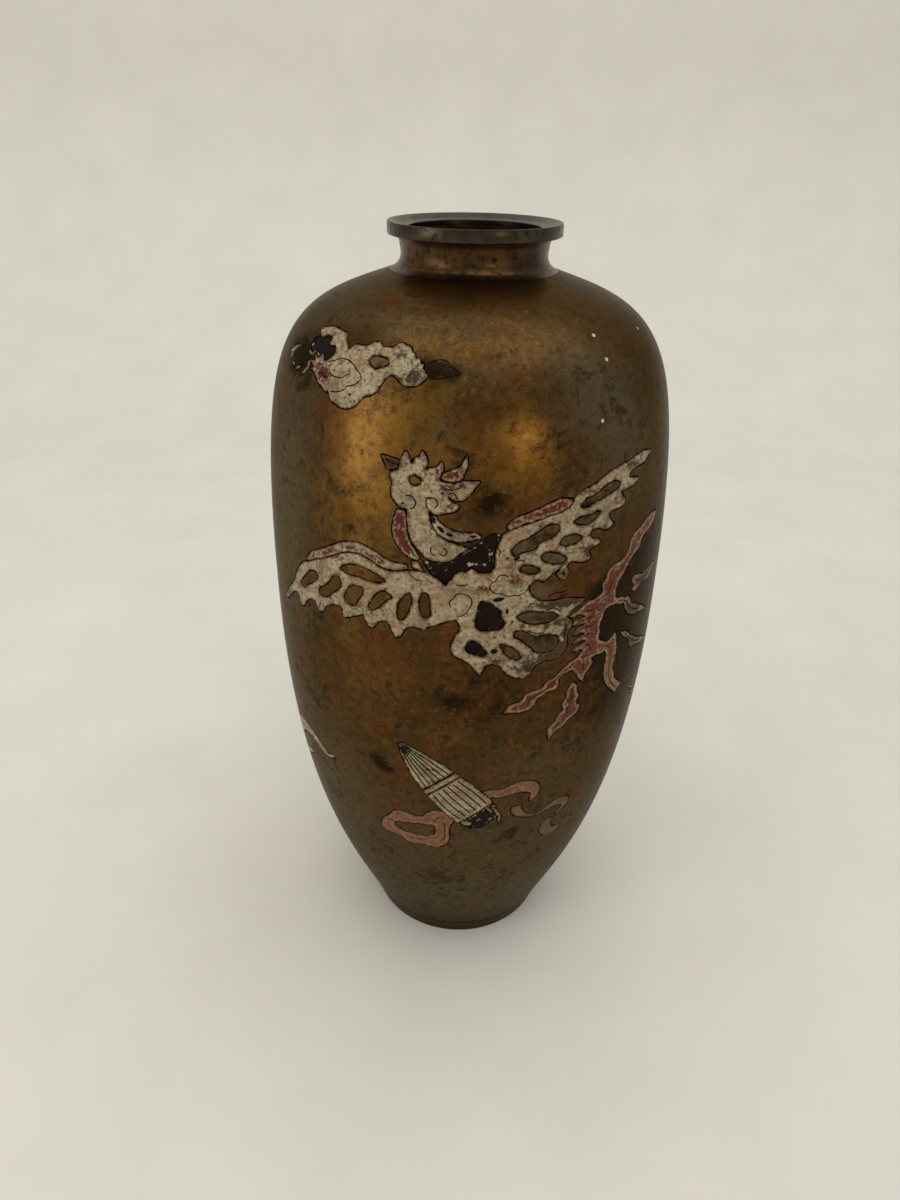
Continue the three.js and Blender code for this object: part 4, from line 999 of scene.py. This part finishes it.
class Board:
    """Node tree with short calls for the nodes that the finishes use."""

    def __init__(self, tree):
        self.tree = tree

    def put(self, kind, settings=(), **links):
        node = self.tree.nodes.new(kind)
        for name, value in dict(settings).items():
            setattr(node, name, value)
        for name, source in links.items():
            self.join(source, node.inputs[name.replace("_", " ")])
        return node

    def join(self, source, socket):
        if isinstance(source, bpy.types.NodeSocket):
            self.tree.links.new(source, socket)
        else:
            socket.default_value = source

    def speckle(self, place, scale, detail=4.0, rough=0.6, twist=0.0):
        node = self.put("ShaderNodeTexNoise", Scale=scale, Detail=detail, Roughness=rough, Distortion=twist)
        self.join(place, node.inputs["Vector"])
        return node.outputs["Fac"]

    def span(self, value, low, high, start=0.0, end=1.0):
        node = self.put("ShaderNodeMapRange")
        for name, source in zip(("Value", "From Min", "From Max", "To Min", "To Max"),
                                (value, low, high, start, end)):
            self.join(source, node.inputs[name])
        return node.outputs["Result"]

    def sums(self, kind, a, b):
        node = self.put("ShaderNodeMath", {"operation": kind})
        self.join(a, node.inputs[0])
        self.join(b, node.inputs[1])
        return node.outputs[0]

    def blend(self, share, a, b):
        node = self.put("ShaderNodeMix", {"data_type": "RGBA"})
        self.join(share, node.inputs[0])
        self.join(a, node.inputs[6])
        self.join(b, node.inputs[7])
        return node.outputs[2]

    def millimetres(self):
        place = self.put("ShaderNodeTexCoord").outputs["Object"]
        node = self.put("ShaderNodeMapping")
        self.join(place, node.inputs["Vector"])
        node.inputs["Scale"].default_value = (1 / MM, 1 / MM, 1 / MM)
        return node.outputs["Vector"]


def ink(red, green, blue):
    """Colour as it looks on the screen, as the shader's linear one."""
    def linear(part):
        part /= 255
        return part / 12.92 if part < 0.04045 else ((part + 0.055) / 1.055) ** 2.4
    return (linear(red), linear(green), linear(blue), 1)


def new_group(name, inputs, outputs):
    group = bpy.data.node_groups.new(name, "ShaderNodeTree")
    for label, kind, value in inputs:
        group_socket(group, label, kind, "INPUT", value)
    for label, kind in outputs:
        group_socket(group, label, kind, "OUTPUT")
    board = Board(group)
    start = group.nodes.new("NodeGroupInput")
    end = group.nodes.new("NodeGroupOutput")
    return group, board, start.outputs, end.inputs


def mottle_group():
    """Soft patches of a second colour and fine specks of a third over a ground colour."""
    group, board, given, made = new_group("patchy_tarnish", [
        ("Place", "NodeSocketVector", None),
        ("Ground", "NodeSocketColor", (0.1, 0.06, 0.02, 1)),
        ("Patch", "NodeSocketColor", (0.3, 0.2, 0.06, 1)),
        ("Speck", "NodeSocketColor", (0.02, 0.01, 0.005, 1)),
        ("Patch Size", "NodeSocketFloat", 0.05), ("Patch Share", "NodeSocketFloat", 0.5),
        ("Speck Size", "NodeSocketFloat", 0.9), ("Speck Share", "NodeSocketFloat", 0.3),
    ], [("Color", "NodeSocketColor"), ("Specks", "NodeSocketFloat")])
    patches = board.speckle(given["Place"], 1.0, 6.0, 0.62, 0.4)
    board.join(given["Patch Size"], patches.node.inputs["Scale"])
    edge = board.sums("SUBTRACT", 1.0, given["Patch Share"])
    wide = board.span(patches, board.sums("SUBTRACT", edge, 0.16), board.sums("ADD", edge, 0.16))
    specks = board.speckle(given["Place"], 1.0, 5.0, 0.7)
    board.join(given["Speck Size"], specks.node.inputs["Scale"])
    limit = board.sums("SUBTRACT", 1.0, given["Speck Share"])
    fine = board.span(specks, board.sums("SUBTRACT", limit, 0.07), board.sums("ADD", limit, 0.1))
    colour = board.blend(wide, given["Ground"], given["Patch"])
    colour = board.blend(fine, colour, given["Speck"])
    board.join(colour, made["Color"])
    board.join(fine, made["Specks"])
    return group


mottle = mottle_group()


def finish_of(name, **values):
    """New finish with its board and its shader, and the shader's constant values."""
    material = bpy.data.materials.new(name)
    material.use_nodes = True
    board = Board(material.node_tree)
    shader = material.node_tree.nodes["Principled BSDF"]
    for label, value in values.items():
        shader.inputs[label.replace("_", " ")].default_value = value
    return material, board, shader


def mottled(board, place, ground, patch, speck, patch_size, patch_share, speck_size, speck_share):
    node = board.put("ShaderNodeGroup", {"node_tree": mottle})
    values = {"Place": place, "Ground": ground, "Patch": patch, "Speck": speck, "Patch Size": patch_size,
              "Patch Share": patch_share, "Speck Size": speck_size, "Speck Share": speck_share}
    for name, value in values.items():
        board.join(value, node.inputs[name])
    return node.outputs


def bumped(board, shader, height, strength, distance):
    bump = board.put("ShaderNodeBump", Strength=strength, Distance=distance)
    board.join(height, bump.inputs["Height"])
    board.join(bump.outputs["Normal"], shader.inputs["Normal"])


def mask(board, name):
    node = board.put("ShaderNodeAttribute", {"attribute_name": name})
    return node.outputs["Fac"]


def torn(board, value, grain, spread, low, high):
    """Soft mask with its border broken up by a grain."""
    shaken = board.sums("ADD", value, board.span(grain, 0, 1, -spread, spread))
    return board.span(shaken, low, high)


# Pale nicks in the tarnish, in millimetres
nicks = [
    (26.5, -30.5, 196.4), (29.4, -33.5, 192), (28.9, -40.6, 180.5), (38.7, -16, 195.2), (30, -40.5, 69.7),
]


def patina_and_sheen():
    """Old tarnish with painted light: olive brown clouds, gold that is partly painted sheen, near-black
    blotches that partly paint a dark reflection, grey film that partly paints a grazing sheen, and a fine
    grain.
    """
    material, board, shader = finish_of(
        "copper_patina_and_sheen", Metallic=0.96, Coat_Weight=0.05, Coat_Roughness=0.11, Specular_IOR_Level=0.2,
        Specular_Tint=(0.57, 0.55, 0.5, 1))
    place = board.millimetres()
    cloud = board.speckle(place, 0.035, 5.0, 0.62, 0.6)
    patch = board.speckle(place, 0.15, 8.0, 0.72, 0.5)
    fine = board.speckle(place, 0.6, 6.0, 0.74, 0.3)
    grain = board.speckle(place, 3.0, 3.0, 0.7)
    # Gold from the marked ovals is painted sheen and a painted highlight; the random clouds add real golden
    # patina
    sheen_and_gold_share = board.sums("ADD", mask(board, "sheen_and_gold"), board.span(cloud, 0.2, 0.8, -0.5, 0.4))
    sheen_and_gold_share = torn(board, sheen_and_gold_share, patch, 1.3, 0.0, 0.85)
    colour = board.blend(sheen_and_gold_share, ink(76, 53, 24), ink(122, 88, 35))
    russet = board.span(board.speckle(place, 0.07, 6.0, 0.66, 0.8), 0.5, 0.6, 0.0, 0.7)
    colour = board.blend(russet, colour, ink(94, 56, 24))
    olive = board.span(board.speckle(place, 0.09, 6.0, 0.66, 0.4), 0.52, 0.62, 0.0, 0.65)
    colour = board.blend(olive, colour, ink(62, 51, 27))
    # Grey from the marked ovals: tarnish film, and a painted grazing sheen down the left flank
    film_and_sheen_share = torn(board, mask(board, "film_and_sheen"), patch, 0.8, -0.05, 1.0)
    colour = board.blend(board.sums("MULTIPLY", film_and_sheen_share, 0.8), colour, ink(100, 88, 67))
    # Dark from the marked ovals: tarnish blotches, and a painted dark reflection over the right side and
    # lower front
    dark_and_reflection_share = torn(board, torn(board, mask(board, "dark"), patch, 1.1, -0.1, 1.0), fine, 0.4, 0.2, 0.8)
    colour = board.blend(dark_and_reflection_share, colour, ink(34, 21, 9))
    colour = board.blend(board.span(patch, 0.54, 0.64, 0.0, 0.55), colour, ink(40, 25, 11))
    colour = board.blend(board.span(fine, 0.52, 0.64, 0.0, 0.5), colour, ink(36, 24, 12))
    colour = board.blend(board.span(fine, 0.43, 0.3, 0.0, 0.4), colour, ink(148, 106, 48))
    colour = board.blend(board.span(grain, 0.52, 0.66, 0.0, 0.4), colour, ink(32, 22, 12))
    for nick in nicks:
        gap = board.put("ShaderNodeVectorMath", {"operation": "DISTANCE"})
        board.join(place, gap.inputs[0])
        board.join(nick, gap.inputs[1])
        bare = board.span(gap.outputs["Value"], 0.3, 0.55, 1.0, 0.0)
        colour = board.blend(bare, colour, ink(226, 220, 204))
    board.join(colour, shader.inputs["Base Color"])
    rough = board.sums("ADD", board.span(film_and_sheen_share, 0, 1, 0.33, 0.44), board.span(fine, 0.3, 0.7, -0.04, 0.08))
    board.join(rough, shader.inputs["Roughness"])
    dents = board.sums("ADD", board.span(patch, 0, 1, 0, 0.7), board.span(fine, 0, 1, 0, 0.3))
    bumped(board, shader, dents, 0.2, 0.0004)
    return material


def plain_bronze(name, ground, patch, speck, roughness, patch_size):
    """Tarnish of the turned pieces, without the body's stains."""
    material, board, shader = finish_of(name, Metallic=0.95)
    place = board.millimetres()
    base = mottled(board, place, ground, patch, speck, patch_size, 0.45, 0.7, 0.42)
    board.join(base["Color"], shader.inputs["Base Color"])
    rough = board.span(base["Specks"], 0, 1, roughness - 0.04, roughness + 0.12)
    board.join(rough, shader.inputs["Roughness"])
    bumped(board, shader, board.speckle(place, 0.9, 5.0, 0.6), 0.14, 0.0003)
    return material


def inlay(name, ground, patch, speck, red, red_floor, pale_rim, rosy_share):
    """Worn inlay: mottled, red where it is stained, pale at its edges, dark in its cuts."""
    material, board, shader = finish_of(name, Metallic=0.0, Specular_IOR_Level=0.1)
    place = board.millimetres()
    base = mottled(board, place, ground, patch, speck, 0.4, 0.45, 1.1, 0.42)
    tooth = board.speckle(place, 1.2, 5.0, 0.68)
    stain = board.speckle(place, 0.16, 6.0, 0.7, 0.4)
    vein = board.speckle(place, 0.55, 5.0, 0.66, 1.2)
    rosy = board.span(board.speckle(place, 0.24, 6.0, 0.72, 0.5), 0.5, 0.6, 0, rosy_share)
    colour = board.blend(rosy, base["Color"], ink(150, 106, 76))
    colour = board.blend(board.span(stain, 0.5, 0.62, 0, 0.65), colour, ink(108, 97, 77))
    colour = board.blend(board.span(tooth, 0.48, 0.64, 0, 0.55), colour, ink(96, 76, 54))
    edge = mask(board, "edge")
    inner = torn(board, edge, tooth, 0.8, pale_rim, pale_rim + 0.35)
    redness = board.sums("MAXIMUM", torn(board, mask(board, "red"), tooth, 0.9, 0.25, 0.75), red_floor)
    redness = board.sums("MULTIPLY", redness, board.span(vein, 0.38, 0.46, 0.1, 1.0))
    redness = board.sums("MULTIPLY", board.sums("MULTIPLY", redness, inner), 0.94)
    deep = mottled(board, place, red, ink(94, 38, 26), ink(42, 13, 8), 0.9, 0.32, 1.3, 0.4)
    colour = board.blend(redness, colour, deep["Color"])
    gilt = torn(board, mask(board, "ochre"), tooth, 0.8, 0.2, 0.9)
    colour = board.blend(board.sums("MULTIPLY", gilt, 0.7), colour, ink(126, 92, 52))
    smoky = torn(board, mask(board, "smoke"), board.speckle(place, 0.5, 6.0, 0.7), 1.7, 0.3, 0.7)
    colour = board.blend(board.sums("MULTIPLY", smoky, 0.9), colour, ink(48, 31, 15))
    shaken_edge = board.sums("SUBTRACT", edge, board.span(tooth, 0.3, 0.7, -0.1, 0.55))
    fringe = board.span(shaken_edge, 0.2, 0.0, 0, 0.75)
    colour = board.blend(fringe, colour, ink(88, 60, 44))
    worn_spots = board.span(board.speckle(place, 0.7, 6.0, 0.74, 0.3), 0.58, 0.64, 0, 0.85)
    colour = board.blend(worn_spots, colour, ink(50, 34, 22))
    colour = board.blend(board.span(mask(board, "depth"), 0.1, 0.3), colour, ink(27, 19, 14))
    board.join(colour, shader.inputs["Base Color"])
    board.join(board.span(base["Specks"], 0, 1, 0.38, 0.6), shader.inputs["Roughness"])
    bumped(board, shader, board.speckle(place, 1.4, 4.0, 0.6), 0.15, 0.0003)
    return material


def bedding():
    material, board, shader = finish_of("pocket_bed", Metallic=0.2, Roughness=0.6, Specular_IOR_Level=0.1)
    place = board.millimetres()
    base = mottled(board, place, ink(30, 20, 14), ink(44, 28, 18), ink(12, 9, 8), 0.5, 0.4, 1.2, 0.4)
    board.join(base["Color"], shader.inputs["Base Color"])
    return material


def lost_bed():
    """Black bed of a lost inlay, with pale scraps left in it."""
    material, board, shader = finish_of("lost_bed", Metallic=0.0, Roughness=0.5, Specular_IOR_Level=0.06)
    place = board.millimetres()
    base = mottled(board, place, ink(22, 12, 8), ink(38, 21, 14), ink(12, 7, 5), 0.5, 0.4, 1.2, 0.4)
    tooth = board.speckle(place, 0.9, 6.0, 0.72)
    near_edge = board.span(mask(board, "edge"), 1.5, 0.1, 0, 0.5)
    scraps = board.sums("MAXIMUM", mask(board, "pale"), near_edge)
    scraps = torn(board, scraps, tooth, 1.3, 0.62, 0.74)
    colour = board.blend(scraps, base["Color"], ink(160, 148, 128))
    board.join(colour, shader.inputs["Base Color"])
    bumped(board, shader, board.speckle(place, 0.9, 5.0, 0.6), 0.2, 0.0003)
    return material


deep_red = ink(84, 15, 9)
brick_red = ink(102, 48, 30)
materials = {
    "patina_and_sheen": patina_and_sheen(),
    "rim": plain_bronze("rim_bronze", ink(56, 49, 40), ink(78, 68, 52), ink(28, 24, 20), 0.32, 0.2),
    "neck": plain_bronze("neck_copper", ink(58, 43, 28), ink(98, 71, 40), ink(34, 25, 17), 0.34, 0.12),
    "cream": inlay("cream_inlay", ink(172, 162, 134), ink(146, 126, 95), ink(72, 55, 38),
                   deep_red, red_floor=0.0, pale_rim=0.25, rosy_share=0.5),
    "pink": inlay("pink_inlay", ink(162, 138, 108), ink(138, 100, 75), ink(66, 38, 27),
                  deep_red, red_floor=0.92, pale_rim=0.55, rosy_share=0.4),
    "red": inlay("red_inlay", ink(174, 146, 118), ink(148, 100, 80), ink(76, 36, 28),
                 deep_red, red_floor=1.0, pale_rim=0.35, rosy_share=0.4),
    "worn": inlay("worn_inlay", ink(150, 116, 84), ink(126, 86, 60), ink(66, 44, 30),
                  brick_red, red_floor=0.55, pale_rim=0.45, rosy_share=0.6),
    "faded": inlay("faded_inlay", ink(90, 70, 48), ink(76, 57, 37), ink(50, 35, 22),
                   brick_red, red_floor=0.12, pale_rim=0.45, rosy_share=0.3),
    "bed": bedding(),
    "lost": lost_bed(),
}


def dress(thing, nodes, finish):
    thing.data.materials.clear()
    thing.data.materials.append(materials[finish])
    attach(thing, "root")
    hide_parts(*nodes)


turned_finishes = {"mouth_rim": "rim", "neck_collar": "neck"}
for node, thing in vessel.items():
    dress(thing, (node,), turned_finishes.get(node, "patina_and_sheen"))
    if node != "body_shell":
        thing.data.shade_smooth()
        thing.data.set_sharp_from_angle(angle=crease)
for name, (thing, finish, nodes) in plaques.items():
    thing.name = name + "_cut"
    dress(thing, nodes, finish)


def darken_pockets():
    """Walls and floors of the pockets take the dark bed finish."""
    mesh = body.data
    mesh.materials.append(materials["bed"])
    for face in mesh.polygons:
        middle = face.center / MM
        depth = radius_at(middle.z) - math.hypot(middle.x, middle.y)
        depth *= wall_normal(face.center).xy.length
        if pocket_depths[0] < depth < pocket_depths[1]:
            face.material_index = 1


darken_pockets()


# Floor, light and camera

def floor():
    bm = bmesh.new()
    bmesh.ops.create_grid(bm, x_segments=1, y_segments=1, size=floor_half)
    back = [edge for edge in bm.edges if all(vert.co.y > 0 for vert in edge.verts)]
    raised = bmesh.ops.extrude_edge_only(bm, edges=back)
    verts = [item for item in raised["geom"] if isinstance(item, bmesh.types.BMVert)]
    bmesh.ops.translate(bm, verts=verts, vec=(0, 0, back_height))
    bmesh.ops.translate(bm, verts=bm.verts, vec=(0, floor_shift, -floor_drop))
    bmesh.ops.bevel(bm, geom=back, offset=back_curve, affect="EDGES", segments=16, profile=0.5, material=-1)
    thing = add_object("studio_floor", bm)
    thing.data.shade_smooth()
    material, board, shader = finish_of("pale_floor", Metallic=0.0, Roughness=0.8)
    place = board.millimetres()
    grain = board.speckle(place, 0.02, 3.0, 0.5)
    shade = board.blend(board.span(grain, 0.3, 0.7), ink(218, 216, 208), ink(224, 222, 215))
    board.join(shade, shader.inputs["Base Color"])
    thing.data.materials.append(material)


def lamp(name, place, target, size, power, colour):
    light = bpy.data.lights.new(name, "AREA")
    light.shape = "RECTANGLE"
    light.size, light.size_y = size
    light.energy = power
    light.color = colour
    thing = bpy.data.objects.new(name, light)
    thing.location = place
    thing.rotation_euler = (Vector(target) - Vector(place)).to_track_quat("-Z", "Y").to_euler()
    bpy.context.scene.collection.objects.link(thing)


def light_up():
    lamp("window_light", place=(-0.84, -0.53, 0.34), target=(0, 0, 0.14), size=(0.4, 0.8),
         power=2.35, colour=(1, 0.95, 0.86))
    lamp("room_light", place=(0.1, -0.1, 1.7), target=(0, 0, 0.1), size=(2.2, 2.2),
         power=18.5, colour=(1, 0.99, 0.97))
    lamp("warm_spot", place=(0.43, -0.73, 0.29), target=(0.012, -0.05, 0.178), size=(0.05, 0.05),
         power=0.36, colour=(1, 0.72, 0.38))
    world = bpy.data.worlds.new("room")
    world.use_nodes = True
    sky = world.node_tree.nodes["Background"]
    sky.inputs["Color"].default_value = ink(220, 218, 211)
    sky.inputs["Strength"].default_value = 0.7
    bpy.context.scene.world = world


def camera():
    pitch, roll, yaw = (math.radians(angle) for angle in (camera_pitch, camera_roll, camera_yaw))
    ahead = Vector((math.sin(yaw) * math.cos(pitch), math.cos(yaw) * math.cos(pitch), -math.sin(pitch)))
    right = Vector((math.cos(yaw), -math.sin(yaw), 0))
    up = right.cross(ahead)
    side = right * math.cos(roll) + up * math.sin(roll)
    top = up * math.cos(roll) - right * math.sin(roll)
    lens = bpy.data.cameras.new("camera")
    lens.lens, lens.sensor_width = lens_length, sensor_width
    lens.clip_start, lens.clip_end = 0.01, 20
    thing = bpy.data.objects.new("camera", lens)
    turn = Matrix((side, top, -ahead)).transposed()
    thing.matrix_world = Matrix.Translation(camera_place) @ turn.to_4x4()
    bpy.context.scene.collection.objects.link(thing)
    bpy.context.scene.camera = thing


floor()
light_up()
camera()
bpy.context.scene.view_settings.view_transform = "Standard"
